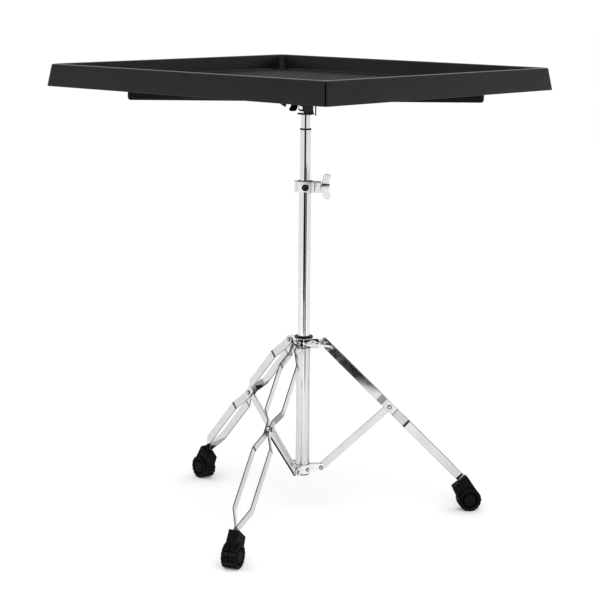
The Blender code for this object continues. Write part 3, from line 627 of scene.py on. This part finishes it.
def smooth_row(points, steps):
    """Points on a Catmull-Rom curve through the given ones."""
    made = []
    count = len(points)
    for i in range(count - 1):
        a, b, c, d = (Vector(points[min(max(i + k, 0), count - 1)]) for k in (-1, 0, 1, 2))
        square = 2 * a - 5 * b + 4 * c - d
        cube = 3 * b - 3 * c + d - a
        for k in range(steps):
            t = k / steps
            made.append((2 * b + (c - a) * t + square * t**2 + cube * t**3) / 2)
    made.append(Vector(points[-1]))
    return made


def wing(scale, sign):
    """A cast wing with a round edge, thick at the hub and thin at the tip."""
    near = smooth_row(WING_NEAR, 4)
    far = smooth_row(WING_FAR, 4)
    thick = smooth_row([(t, 0.0) for t in WING_THICK], 4)
    rings = []
    for low, high, half in zip(near, far, thick):
        middle = (low + high) / 2
        reach = (high - low) / 2
        ring = []
        for k in range(20):
            angle = 2 * math.pi * k / 20
            c, s = math.cos(angle), math.sin(angle)
            wide = math.copysign(abs(c) ** 0.55, c)
            deep = math.copysign(abs(s) ** 0.55, s)
            point = middle + reach * wide
            ring.append((sign * scale * point.x, half.x * deep, point.y))
        rings.append(ring)
    last = [Vector(p) for p in rings[-1]]
    centre = sum(last, Vector()) / len(last)
    beyond = Vector((sign * 0.0007 * scale, 0, 0))
    rings.append([tuple(centre + (p - centre) * 0.55 + beyond) for p in last])
    return shell_of_rings(rings)


def hub(mat, spot, tip=None):
    profile = [(HUB_R - 0.0004, 0.0), (HUB_R, 0.0004), (HUB_R, 0.0088), (HUB_R - 0.0003, 0.0100)]
    profile += [(0.0058, 0.0150), (0.0052, 0.0162), (0.0040, 0.0166)]
    if tip is not None:
        profile = [(0.0022, tip), (PIN_R, tip + 0.0009), (PIN_R, 0.0)] + profile
    return solid("hub", lathe(profile, 56), mat, spot)


def wing_screw(node, body, mats, spot, tip, scale):
    """A hub with two wings and a shank that ends at the tip, in materials for (hub, wings)."""
    screw = hub(mats[0], spot, tip)
    wings = [solid("wing", wing(scale, sign), mats[1], spot) for sign in (1, -1)]
    place(shape(screw, adds=wings, bevel=0.0006, segments=3, angle=40, sharp=60), body, node)


# ---------------------------------------------------------------- mast
SLEEVE_TOP = 0.3574
TUBE_FOOT = 0.0915
MID_TOP = 0.7998
CLAMP_LOW = 0.6766
CLAMP_HIGH = 0.6973
CLAMP_BOLT_Z = 0.6895
CLAMP_BOLT_SIDE = -0.0243
CLAMP_WING_AT = 0.0325
KEY_Z = 0.6857
BUSHING_LOW = 0.6940


def mast():
    tubes = (
        ("top_tube", "mast", TOP_R, 0.0083, 0.700, 0.8830),
        ("mid_tube", "mast", MID_R, TOP_R + GAP, 0.450, MID_TOP),
        ("base_tube", "base", BASE_R, MID_R + GAP, TUBE_FOOT, BUSHING_LOW - 0.0005),
        ("lower_sleeve", "base", SLEEVE_R, BASE_R + GAP, TUBE_FOOT, SLEEVE_TOP),
    )
    for node, body, outer, inner, low, high in tubes:
        mat = SLEEVE_CHROME if node == "lower_sleeve" else CHROME
        place(shape(solid(node, tube(outer, inner, low, high), mat)), body, node)
    low = MID_TOP + GAP
    profile = ((0.0111, low), (0.0115, low + 0.0004), (0.0115, low + 0.0021), (0.0112, low + 0.0026))
    profile += ((0.0106, low + 0.0028), (TOP_R + GAP, low + 0.0028), (TOP_R + GAP, low))
    turned_ring("mid_tube_ring", "mast", profile)
    profile = [(0.0008, 0.0900), (0.0110, 0.0893), (0.0133, 0.0893), (0.0140, 0.0896), (SLEEVE_R, 0.0902)]
    profile += [(SLEEVE_R, 0.0912), (MID_R, 0.0912), (MID_R, 0.1010), (MID_R - 0.0006, 0.1015)]
    place(shape(solid("plug", lathe(profile, 72), NYLON)), "base", "base_plug")


def height_clamp():
    """A rolled collar with a hinge knuckle on the left and a split ear with a wing nut on the right."""
    low, high = CLAMP_LOW, CLAMP_HIGH
    body = solid("clamp", cylinder(0.0188, low, high, 96, 0.0008), SATIN_CHROME)
    shape(body)
    ear = ((0.0070, -0.0300), (0.0184, -0.0300), (0.0184, -0.0040), (0.0070, -0.0040))
    web = ((0.0120, -0.0120), (0.0320, -0.0120), (0.0320, 0.0058), (0.0120, 0.0070))
    far = ((0.0195, -0.0300), (0.0322, -0.0300), (0.0322, -0.0080), (0.0195, -0.0080))
    adds = [
        prism(rounded(ear, (0.003, 0.0004, 0, 0)), low + 0.0003, high - 0.0003),
        prism(rounded(web, (0, 0, 0.004, 0)), low + 0.0005, high - 0.0005),
        prism(rounded(far, (0.0004, 0.003, 0, 0)), low + 0.0004, high - 0.0004),
    ]
    adds = [solid("add", bm, SATIN_CHROME, CLAMP) for bm in adds]
    knuckle = CLAMP @ shift(-0.0186, -0.0060)
    bolt = along(CLAMP_AZIMUTH, CLAMP_BOLT_Z, CLAMP_BOLT_SIDE)
    spot = along(FRONT_AZIMUTH, KEY_Z)
    barrel = tube(0.0036, 0.0017, low - 0.0006, high + 0.0016, 40)
    adds.append(solid("knuckle", barrel, SATIN_CHROME, knuckle))
    # The slot, slit, seat and holes take the dark nylon finish: painted shade in the gaps.
    cuts = [
        solid("bore", cylinder(BASE_R + GAP, low - 0.01, high + 0.01, 96), SATIN_CHROME, CLAMP),
        solid("seat", cylinder(0.0153, 0.6937, high + 0.01, 96), NYLON, CLAMP),
        solid("slot", box((0.0184, -0.0400, low - 0.01), (0.0195, -0.0088, high + 0.01)), NYLON, CLAMP),
        solid("slit", box((0.0060, -0.0106, low - 0.011), (0.0190, -0.0098, high + 0.011)), NYLON, CLAMP),
        solid("hole", cylinder(PIN_R + GAP, 0.0060, 0.0600, 40), NYLON, bolt),
        solid("pin", cylinder(0.0019, low - 0.01, high + 0.01, 32), NYLON, knuckle),
        solid("key", cylinder(0.0031, 0.0100, 0.0300, 32), NYLON, spot),
    ]
    shape(body, adds=adds, cuts=cuts, bevel=0.0005, segments=2, angle=45)
    # Painted shade on the upward faces outside the collar.
    repaint(body, PAINTED_SHADE_CHROME, lambda c, n: n.z > 0.6 and c.z > high - 0.0012 and c.to_2d().length > 0.0192)
    place(body, "base", "clamp_body")

    top = high + 0.0010
    profile = ((0.0151, BUSHING_LOW), (0.0151, top - 0.0004), (0.0148, top), (MID_R + 0.0008, top))
    profile += ((MID_R + GAP, top - 0.0005), (MID_R + GAP, BUSHING_LOW))
    turned_ring("clamp_bushing", "base", profile, 96)

    profile = [(0.0010, low - 0.0020), (0.0015, low - 0.0014), (0.0016, low), (0.0016, high + 0.0012)]
    profile += [(0.0013, high + 0.0019), (0.0006, high + 0.0022)]
    place(shape(solid("pin", lathe(profile, 32), ZINC, knuckle), sharp=60), "base", "clamp_pin")

    threads = []
    pitch = 0.0011
    for k in range(31):
        at = 0.0135 + pitch * k
        threads += [(PIN_R - 0.0003, at), (PIN_R, at + pitch / 2)]
    profile = [(0.0024, 0.0104), (PIN_R, 0.0112)] + threads + [(PIN_R, 0.0480), (0.0022, 0.0490)]
    stud = solid("stud", lathe(profile, 40), BLACK_STEEL, bolt)
    place(shape(stud, sharp=60), "base", "clamp_bolt")

    seat = bolt @ shift(0, 0, CLAMP_WING_AT) @ about_z(-4)
    nut = hub(CHROME, seat)
    wings = [solid("wing", wing(1.0, sign), SATIN_CHROME, seat) for sign in (1, -1)]
    shape(nut, adds=wings)
    hole = solid("hole", cylinder(PIN_R + GAP, -0.01, 0.04, 40), BLACK_STEEL, seat)
    shape(nut, cuts=[hole], bevel=0.0005, segments=3, angle=40, sharp=60)
    outwards = (CLAMP @ Vector((1, 0, 0))).normalized()

    # Painted shade on the wings' upper and lower faces and on their inner sides.
    def painted_wing_shade(c, n):
        return abs(c.z - CLAMP_BOLT_Z) > 0.0080 and (abs(n.z) > 0.50 or n.dot(outwards) < -0.60)

    place(repaint(nut, PAINTED_SHADE_CHROME, painted_wing_shade), "height_nut", "clamp_wing_nut")

    profile = [(0.0022, 0.0136), (0.0027, 0.0141), (0.0027, 0.0191), (0.0060, 0.0191), (0.0066, 0.0196)]
    profile += [(0.0067, 0.0214), (0.0062, 0.0224), (0.0052, 0.0228), (0.0042, 0.0226), (0.0038, 0.0220)]
    profile += [(0.0037, 0.0212), (0.0008, 0.0211)]
    key = solid("key", lathe(profile, 56), NYLON, spot)
    turns = [math.radians(60 * k) for k in range(6)]
    socket = [(0.0019 * math.cos(a), 0.0019 * math.sin(a)) for a in turns]
    # Painted shade: the hex socket takes the black paint finish.
    cut = solid("hex", prism(socket, 0.0185, 0.0300), BLACK_STEEL, spot)
    shape(key, cuts=[cut], sharp=50)
    facing = (CLAMP @ Vector((0, -1, 0))).normalized()
    # Painted shade on the sunken face inside the head's raised rim.
    repaint(key, PAINTED_SHADE_CHROME, lambda c, n: n.dot(facing) > 0.9 and 0.0202 < c.dot(facing) < 0.0214)
    place(key, "base", "clamp_key_screw")


# ---------------------------------------------------------------- tripod
LEG_AZIMUTHS = (50.4, 170.4, 290.4)
# Pivots in a leg's plane: (distance from the mast, height)
TOP_PIVOT = Vector((0.0425, 0.3665))
MID_PIVOT = Vector((0.1800, 0.2275))
LOW_PIVOT = Vector((0.0380, 0.1030))
LEG_DIR = (MID_PIVOT - TOP_PIVOT).normalized()
LEG_ACROSS = Vector((LEG_DIR.y, -LEG_DIR.x))
MID_AT = (MID_PIVOT - TOP_PIVOT).length
STRIP_W = 0.0175
STRIP_T = 0.0025
STRIP_END = 0.432
BRACE_W = 0.0160
BRACE_T = 0.0060
BRACE_WALL = 0.0014
# A strip's distance from the leg's plane: at the pivots, between them and in the foot
PINCH = BRACE_T / 2 + GAP + STRIP_T / 2
SPREAD = 0.0180
CLOSED = 0.00156
SLIDER_LOW = SLEEVE_TOP + GAP
SLIDER_HIGH = 0.3774
SLIDER_BOLT_AZIMUTH = -9.6
SLIDER_BOLT_Z = (SLIDER_LOW + SLIDER_HIGH) / 2 + 0.0006
SLIDER_WING_AT = 0.0343
# (distance down the leg, sideways offset, bend radius)
STRIP_PATH = (
    (0.016, PINCH, 0.012),
    (0.049, SPREAD, 0.012),
    (0.157, SPREAD, 0.012),
    (MID_AT - 0.0155, PINCH, 0.008),
    (MID_AT + 0.0158, PINCH, 0.006),
    (MID_AT + 0.0465, SPREAD, 0.012),
    (0.376, SPREAD, 0.020),
    (0.4145, CLOSED, 0.010),
)

# Painted reflection bands across the strip at its bends, grey and dark: (distance down the leg, half length)
GREY_PAINTED_BANDS = ((0.1680, 0.0050), (MID_AT + 0.0180, 0.0020))
DARK_PAINTED_BANDS = ((0.0502, 0.0044), (MID_AT + 0.0465, 0.0036), (0.4205, 0.0045))


def bent_path():
    """The strip's centre line with round bends: (distance, offset)."""
    path = [Vector((0.0, PINCH))]
    corners = [Vector((0.0, PINCH))] + [Vector(p[:2]) for p in STRIP_PATH] + [Vector((STRIP_END, CLOSED))]
    for index, (_, _, radius) in enumerate(STRIP_PATH, 1):
        here = corners[index]
        back = (corners[index - 1] - here).normalized()
        ahead = (corners[index + 1] - here).normalized()
        half = back.angle(ahead) / 2
        reach = min(radius / math.tan(half), (corners[index + 1] - here).length * 0.45)
        for k in range(9):
            t = k / 8
            path.append(here + back * reach * (1 - t) ** 2 + ahead * reach * t**2)
    return path + [corners[-1]]


def strip_ring(half_wide, half_thick):
    """A rectangle with round corners: (across, through)."""
    radius = 0.0007
    half_wide = max(half_wide, radius * 1.2)
    ring = []
    for sx, sy, first in ((1, 1, 0), (-1, 1, 90), (-1, -1, 180), (1, -1, 270)):
        for k in range(4):
            a = math.radians(first + 30 * k)
            x = sx * (half_wide - radius) + radius * math.cos(a)
            ring.append((x, sy * (half_thick - radius) + radius * math.sin(a)))
    return ring


def leg_strip(number, letter, azimuth, side):
    half = STRIP_W / 2
    stations = []
    for degrees in (8, 18, 30, 45, 60, 75):
        a = math.radians(degrees)
        stations.append((Vector((-half * math.cos(a), PINCH)), half * math.sin(a)))
    stations += [(point, half) for point in bent_path()]
    rings = []
    for index, (point, wide) in enumerate(stations):
        before = stations[max(index - 1, 0)][0]
        after = stations[min(index + 1, len(stations) - 1)][0]
        run = (after - before).normalized()
        normal = Vector((-run.y, run.x))
        ring = []
        for across, through in strip_ring(wide, STRIP_T / 2):
            down = point.x + normal.x * through
            flat = TOP_PIVOT + LEG_DIR * down + LEG_ACROSS * across
            ring.append((flat.x, flat.y, side * (point.y + normal.y * through)))
        rings.append(ring)
    spot = leg_plane(azimuth)
    strip = solid("strip", shell_of_rings(rings), STRIP_CHROME, spot)
    # The pin holes take the near black plating as painted shade.
    holes = [pin_hole(PAINTED_SHADE_CHROME, spot @ shift(point.x, point.y)) for point in (TOP_PIVOT, MID_PIVOT)]
    shape(strip, cuts=holes, sharp=50)
    edge = (spot.to_3x3() @ Vector((LEG_ACROSS.x, LEG_ACROSS.y, 0))).normalized()
    down = (spot.to_3x3() @ Vector((LEG_DIR.x, LEG_DIR.y, 0))).normalized()
    start = spot @ Vector((TOP_PIVOT.x, TOP_PIVOT.y, 0))

    def folded(marks):
        return lambda c, n: any(abs((c - start).dot(down) - at) < half for at, half in marks)

    # Painted reflections: grey and dark bands across the bends.
    repaint(strip, PAINTED_BAND_CHROME, folded(GREY_PAINTED_BANDS))
    repaint(strip, PAINTED_SHADE_CHROME, folded(DARK_PAINTED_BANDS))
    # Painted shade along the strip's narrow edges.
    repaint(strip, PAINTED_SHADE_CHROME, lambda c, n: abs(n.dot(edge)) > 0.6)
    place(strip, f"leg_{number}", f"leg_{number}_strip_{letter}")


def rivet(node, body, profile, spot, bright):
    """A turned rivet whose head is painted near black outside the bright radius, as a dark reflection."""
    axis = spot.to_3x3() @ Vector((0, 0, 1))

    def rim(c, n):
        away = c - spot.translation
        return (away - axis * away.dot(axis)).length > bright

    turned = shape(solid("rivet", lathe(profile, 40), ZINC, spot), sharp=70)
    # Painted dark reflection on the rim of the head.
    place(repaint(turned, PAINTED_SHADE_CHROME, rim), body, node)


def cross_rivet(node, body, azimuth, point, half):
    """A tubular rivet: a rolled rim round a dimple on each side."""
    side = [(PIN_R, half + GAP), (0.0046, half + GAP), (0.0047, half + 0.0009), (0.0043, half + 0.0016)]
    side += [(0.0036, half + 0.0019), (0.0029, half + 0.0017), (0.0023, half + 0.0011)]
    side += [(0.0008, half + 0.0010)]
    profile = [(radius, -height) for radius, height in reversed(side)] + side
    rivet(node, body, profile, leg_plane(azimuth) @ shift(point.x, point.y), 0.0026)


def brace(number, azimuth):
    """A folded channel, closed below and open above, with round ends and a bottom pin."""
    run = LOW_PIVOT - MID_PIVOT
    length = run.length
    direction = run.normalized()
    half = BRACE_W / 2
    outline = []
    for k in range(25):
        a = math.radians(90 + 180 * k / 24)
        outline.append((half * math.cos(a), half * math.sin(a)))
    for k in range(25):
        a = math.radians(-90 + 180 * k / 24)
        outline.append((length + half * math.cos(a), half * math.sin(a)))
    rows = ((direction.x, -direction.y, 0, MID_PIVOT.x), (direction.y, direction.x, 0, MID_PIVOT.y))
    spot = leg_plane(azimuth) @ Matrix((*rows, (0, 0, 1, 0), (0, 0, 0, 1)))
    body = solid("brace", prism(outline, -BRACE_T / 2, BRACE_T / 2), STRIP_CHROME, spot)
    shape(body, bevel=0.0012, segments=3)
    inside = BRACE_T / 2 - BRACE_WALL
    trough = box((0.011, BRACE_WALL - half, -inside), (length - 0.011, 0.03, inside))
    # The trough and the pin holes take the near black plating: painted shade inside them.
    cuts = [
        solid("trough", trough, PAINTED_SHADE_CHROME, spot),
        pin_hole(PAINTED_SHADE_CHROME, spot),
        pin_hole(PAINTED_SHADE_CHROME, spot @ shift(length), 0.0028),
    ]
    shape(body, cuts=cuts, bevel=0.0003, segments=2)
    rim = spot.to_3x3() @ Vector((0, 1, 0))
    # Painted shade along the channel's open edges.
    repaint(body, PAINTED_SHADE_CHROME, lambda c, n: n.dot(rim) > 0.75)
    place(body, f"brace_{number}", f"brace_{number}")
    profile = [(0.0018, -BRACE_T / 2), (0.0024, 0.0004 - BRACE_T / 2), (0.0025, 0.0010 - BRACE_T / 2)]
    profile += [(r, -h) for r, h in reversed(profile)]
    pin = solid("pin", lathe(profile, 32), ZINC, leg_plane(azimuth) @ shift(LOW_PIVOT.x, LOW_PIVOT.y))
    place(shape(pin), f"brace_{number}", f"brace_{number}_pin")


def leg_slider():
    """A cast collar with painted shade in the pockets between its ribs, a lug for each leg and a threaded
    boss.
    """
    low = SLIDER_LOW + 0.0024
    body = solid("slider", cylinder(0.0190, low, SLIDER_HIGH, 96, 0.0008), CAST_CHROME)
    shape(body)
    # The groove takes the dark nylon finish: painted shade in the pockets between the ribs.
    groove = tube(0.0230, 0.0150, low + 0.0014, SLIDER_HIGH - 0.0012, 96)
    shape(body, cuts=[solid("groove", groove, NYLON)])
    adds = []
    corners = ((0.0120, low + 0.0002), (0.0505, low + 0.0002), (0.0505, 0.3743), (0.0120, 0.3743))
    corners = rounded(corners, (0.0, 0.0065, 0.0072, 0.0))
    for azimuth in LEG_AZIMUTHS:
        adds.append(solid("lug", prism(corners, -0.00275, 0.00275), CAST_CHROME, leg_plane(azimuth)))
        for side in (-22, 22, -44, 44):
            rib = box((0.0140, -0.0008, low + 0.0008), (0.0187, 0.0008, SLIDER_HIGH - 0.0008))
            adds.append(solid("rib", rib, CAST_CHROME, about_z(azimuth + side)))
        if azimuth != LEG_AZIMUTHS[0]:
            post = cylinder(0.0024, 0.0140, 0.0186, 32, 0.0005)
            adds.append(solid("post", post, CAST_CHROME, along(azimuth - 60, SLIDER_BOLT_Z + 0.0004)))
    post = cylinder(0.0024, 0.0140, 0.0188, 32, 0.0005)
    adds.append(solid("post", post, CAST_CHROME, along(FRONT_AZIMUTH, SLIDER_BOLT_Z + 0.0006)))
    spot = along(SLIDER_BOLT_AZIMUTH, SLIDER_BOLT_Z)
    adds.append(solid("boss", cylinder(0.0078, 0.0120, 0.0333, 56, 0.0008), CAST_CHROME, spot))
    cuts = [
        solid("bore", cylinder(BASE_R + GAP, 0.3, 0.45, 96), CAST_CHROME),
        solid("thread", cylinder(PIN_R + GAP, 0.0090, 0.0400, 32), NYLON, spot),
    ]
    for azimuth in LEG_AZIMUTHS:
        cuts.append(pin_hole(NYLON, leg_plane(azimuth) @ shift(TOP_PIVOT.x, TOP_PIVOT.y)))
    place(shape(body, adds=adds, cuts=cuts, bevel=0.0004, segments=2, angle=40), "slider", "leg_slider")

    profile = ((0.0187, SLIDER_LOW), (0.0192, SLIDER_LOW + 0.0004), (0.0192, SLIDER_LOW + 0.0022))
    profile += ((BASE_R + GAP, SLIDER_LOW + 0.0022), (BASE_R + GAP, SLIDER_LOW))
    place(shape(solid("slider_shim", lathe(profile, 96, ring=True), NYLON)), "slider")

    base = SLIDER_HIGH + GAP
    profile = [(0.0180, base), (0.0187, base + 0.0004), (0.0190, base + 0.0010), (0.0190, base + 0.0029)]
    profile += [(0.0187, base + 0.0035), (0.0180, base + 0.0039), (0.0138, base + 0.0039)]
    profile += [(BASE_R + GAP, base + 0.0034), (BASE_R + GAP, base)]
    turned_ring("slider_ring", "slider", profile, 96)
    spot = spot @ shift(0, 0, SLIDER_WING_AT) @ about_z(80)
    mats = (CHROME, SATIN_CHROME)
    wing_screw("slider_wing_bolt", "slider_bolt", mats, spot, BASE_R + GAP - SLIDER_WING_AT, 1.35)


FOOT_R = 0.0242
FOOT_ROOT_R = 0.0228
FOOT_HALF = 0.0148
FOOT_RIBS = 16
FOOT_CENTRE = Vector((0.3535, FOOT_R))
# One rib and the gap after it: (share of its turn, radius)
RIB_OUTLINE = ((0.02, FOOT_R), (0.24, FOOT_R), (0.47, FOOT_R), (0.70, FOOT_R))
RIB_OUTLINE += ((0.75, FOOT_ROOT_R), (0.97, FOOT_ROOT_R))


def foot(number, azimuth):
    """A ribbed rubber drum under a boot that takes the two strips."""
    spot = leg_plane(azimuth)
    centre = spot @ shift(FOOT_CENTRE.x, FOOT_CENTRE.y)
    outline = []
    for k in range(FOOT_RIBS):
        for part, radius in RIB_OUTLINE:
            a = 2 * math.pi * (k + part - 0.36) / FOOT_RIBS - math.pi / 2
            outline.append((radius * math.cos(a), radius * math.sin(a)))
    body = solid("foot", prism(outline, -FOOT_HALF, FOOT_HALF), RUBBER, centre)
    corners = ((0.3175, 0.0512), (0.3482, 0.0738), (0.3712, 0.0400), (0.3560, 0.0140), (0.3336, 0.0180))
    boot = prism(rounded(corners, (0.003, 0.0015, 0.004, 0.0, 0.0)), -0.0106, 0.0106)

    def along_leg(start, stop, reach):
        near, far = TOP_PIVOT + LEG_DIR * start, TOP_PIVOT + LEG_DIR * stop
        return [tuple(near - reach), tuple(near + reach), tuple(far + reach), tuple(far - reach)]

    slot = along_leg(0.37, STRIP_END + GAP, LEG_ACROSS * (STRIP_W / 2 + GAP))
    mouth = along_leg(0.37, 0.4235, LEG_ACROSS * (STRIP_W / 2 + 0.0014))
    half = CLOSED + STRIP_T / 2 + GAP
    adds = [solid("boot", boot, RUBBER, spot)]
    for low, high in ((-0.0155, -0.0146), (0.0146, 0.0155)):
        adds.append(solid("face", cylinder(0.0200, low, high, 72), RUBBER, centre))
    # The slot, mouth, groove and dishes take the near black rubber: painted shade in them.
    cuts = [
        solid("slot", prism(slot, -half, half), PAINTED_SHADE_BLACK, spot),
        solid("mouth", prism(mouth, -half - 0.0013, half + 0.0013), PAINTED_SHADE_BLACK, spot),
        solid("groove", tube(0.0270, 0.0226, -0.0009, 0.0009, 72), PAINTED_SHADE_BLACK, centre),
    ]
    for low, high in ((-0.0165, -0.0149), (0.0149, 0.0165)):
        cuts.append(solid("dish", tube(0.0168, 0.0130, low, high, 64), PAINTED_SHADE_BLACK, centre))
    shape(body, adds=adds)
    shape(body, cuts=cuts, bevel=0.0005, segments=2, angle=40)
    axle = centre.to_3x3() @ Vector((0, 0, 1))

    # Painted shade at the roots between the ribs.
    def root(c, n):
        away = c - centre.translation
        side = away.dot(axle)
        return 0.0222 < (away - axle * side).length < 0.0234 and abs(side) < 0.0146

    place(repaint(body, PAINTED_SHADE_BLACK, root), f"leg_{number}", f"foot_{number}")


def tripod():
    for number, azimuth in enumerate(LEG_AZIMUTHS, 1):
        leg_strip(number, "a", azimuth, 1)
        leg_strip(number, "b", azimuth, -1)
        reach = PINCH + STRIP_T / 2
        cross_rivet(f"leg_{number}_top_rivet", f"leg_{number}", azimuth, TOP_PIVOT, reach)
        cross_rivet(f"leg_{number}_mid_rivet", f"leg_{number}", azimuth, MID_PIVOT, reach)
        brace(number, azimuth)
        foot(number, azimuth)


def bottom_bracket():
    low, high = 0.0925, 0.1115
    bracket = solid("bracket", cylinder(0.0164, low, high, 96), SATIN_CHROME)
    top = high - 0.0004
    outline = ((0.0152, low + 0.0015), (0.0445, low + 0.0025), (0.0445, top), (0.0152, top))
    outline = rounded(outline, (0.0, 0.005, 0.005, 0.0))
    inner = BRACE_T / 2 + GAP + 0.0001
    outer = inner + 0.0018
    adds, cuts = [], []
    for number, azimuth in enumerate(LEG_AZIMUTHS, 1):
        spot = leg_plane(azimuth)
        pivot = spot @ shift(LOW_PIVOT.x, LOW_PIVOT.y)
        for near, far in ((inner, outer), (-outer, -inner)):
            adds.append(solid("lug", prism(outline, near, far), SATIN_CHROME, spot))
        for tag, sign in (("a", 1), ("b", -1)):
            reach = outer + 0.0001
            profile = [(0.0024, inner + 0.0001), (0.0024, reach), (0.0042, reach), (0.0043, reach + 0.0006)]
            profile += [(0.0038, reach + 0.0014), (0.0030, reach + 0.0018), (0.0022, reach + 0.0015)]
            profile += [(0.0016, reach + 0.0009), (0.0006, reach + 0.0009)]
            profile = [(radius, sign * height) for radius, height in profile]
            rivet(f"lug_rivet_{number}{tag}", "base", profile, pivot, 0.0020)
        cuts.append(pin_hole(PAINTED_SHADE_CHROME, pivot, 0.0027))
        middle = along(azimuth + 60, (low + high) / 2)
        cuts.append(solid("hole", cylinder(0.0023, 0.0100, 0.0300, 32), PAINTED_SHADE_CHROME, middle))
        profile = [(0.0020, 0.0147), (0.0020, 0.0167), (0.0040, 0.0167), (0.0041, 0.0172), (0.0037, 0.0180)]
        profile += [(0.0030, 0.0184), (0.0022, 0.0182), (0.0016, 0.0177), (0.0006, 0.0177)]
        rivet(f"band_rivet_{number}", "base", profile, middle, 0.0020)
    # The pin holes, side holes and bore take the near black plating: painted shade inside them.
    cuts.append(solid("bore", cylinder(SLEEVE_R + GAP, 0.05, 0.15, 96), PAINTED_SHADE_CHROME))
    shape(bracket, adds=adds, cuts=cuts, bevel=0.0004, segments=2)
    # Painted shade on the upward faces.
    repaint(bracket, PAINTED_SHADE_CHROME, lambda c, n: n.z > 0.8)
    place(bracket, "base", "bottom_bracket")


tray_bar()
tray_mount()
mast()
height_clamp()
leg_slider()
tripod()
bottom_bracket()


# ---------------------------------------------------------------- studio
# The camera, its lamp and the cards are placed from the mast, turned by this azimuth
VIEW_AZIMUTH = 41.91


def camera():
    """From 10.6 degrees above, nearly along the tray's other diagonal."""
    turn = about_z(VIEW_AZIMUTH)
    pitch, yaw, roll = math.radians(10.605), math.radians(-0.135), math.radians(0.522)
    forward = Vector((math.sin(yaw) * math.cos(pitch), math.cos(yaw) * math.cos(pitch), -math.sin(pitch)))
    right = Vector((math.cos(yaw), -math.sin(yaw), 0))
    up = right.cross(forward)
    rolled_right = math.cos(roll) * right + math.sin(roll) * up
    rolled_up = math.cos(roll) * up - math.sin(roll) * right
    axes = Matrix((rolled_right, rolled_up, -forward)).transposed().to_4x4()
    data = bpy.data.cameras.new("view")
    data.sensor_width = 36.0
    data.lens = 104.51
    data.clip_start = 0.05
    data.clip_end = 100.0
    obj = linked("view", data)
    obj.matrix_world = Matrix.Translation(MAST) @ turn @ shift(0, -3.4722, 1.1047) @ axes
    bpy.context.scene.camera = obj


def stage_material(name, colour, roughness=0.9):
    mat = bpy.data.materials.new(name)
    mat.use_nodes = True
    shader = mat.node_tree.nodes["Principled BSDF"]
    shader.inputs["Base Color"].default_value = (*colour, 1.0)
    shader.inputs["Roughness"].default_value = roughness
    shader.inputs["Specular IOR Level"].default_value = 0.0
    return mat


def sheet(name, mat, corners):
    mesh = bpy.data.meshes.new(name)
    mesh.from_pydata(corners, [], [(0, 1, 2, 3)])
    mesh.materials.append(mat)
    return linked(name, mesh)


def card(name, mat, x, y, z_low, z_high, half):
    """An upright card that only reflections see, placed from the camera's side of the mast."""
    turn = Matrix.Translation(MAST) @ about_z(VIEW_AZIMUTH)
    corners = ((x - half, y, z_low), (x + half, y, z_low), (x + half, y, z_high), (x - half, y, z_high))
    obj = sheet(name, mat, [turn @ Vector(c) for c in corners])
    obj.visible_camera = False
    obj.visible_shadow = False
    obj.visible_diffuse = False


def lamp(name, size, watts, spot):
    light = bpy.data.lights.new(name, "AREA")
    light.size = size
    light.energy = watts
    obj = linked(name, light)
    obj.location = spot
    return obj


def studio():
    reach = 30.0
    corners = [(-reach, -reach, 0), (reach, -reach, 0), (reach, reach, 0), (-reach, reach, 0)]
    sheet("floor", stage_material("pale_floor", (0.93, 0.93, 0.93)), corners)

    world = bpy.data.worlds.new("studio")
    bpy.context.scene.world = world
    world.use_nodes = True
    background = world.node_tree.nodes["Background"]
    background.inputs["Color"].default_value = (1.0, 1.0, 1.0, 1.0)
    background.inputs["Strength"].default_value = 1.09

    lamp("overhead", 3.0, 10.0, MAST + Vector((0.0, 0.0, 3.2)))
    fill = lamp("fill", 2.4, 34.0, MAST + about_z(VIEW_AZIMUTH) @ Vector((0.0, -2.3, 1.5)))
    fill.rotation_euler = (MAST - fill.location).to_track_quat("-Z", "Y").to_euler()
    fill.visible_glossy = False

    dark = stage_material("dark_card", (0.012, 0.012, 0.013))
    middle = stage_material("grey_card", (0.30, 0.30, 0.31))
    card("card_centre", dark, -0.10, -1.35, 0.20, 0.60, 0.45)
    card("card_centre_low", middle, -0.10, -1.35, 0.10, 0.20, 0.45)
    card("card_far", dark, -0.20, -2.60, 0.30, 0.86, 0.87)
    card("card_right", dark, 0.55, -1.08, 0.0, 0.60, 0.20)
    card("card_left", dark, -0.33, -1.35, 0.76, 1.00, 0.18)
    bpy.context.scene.view_settings.view_transform = "Standard"


camera()
studio()
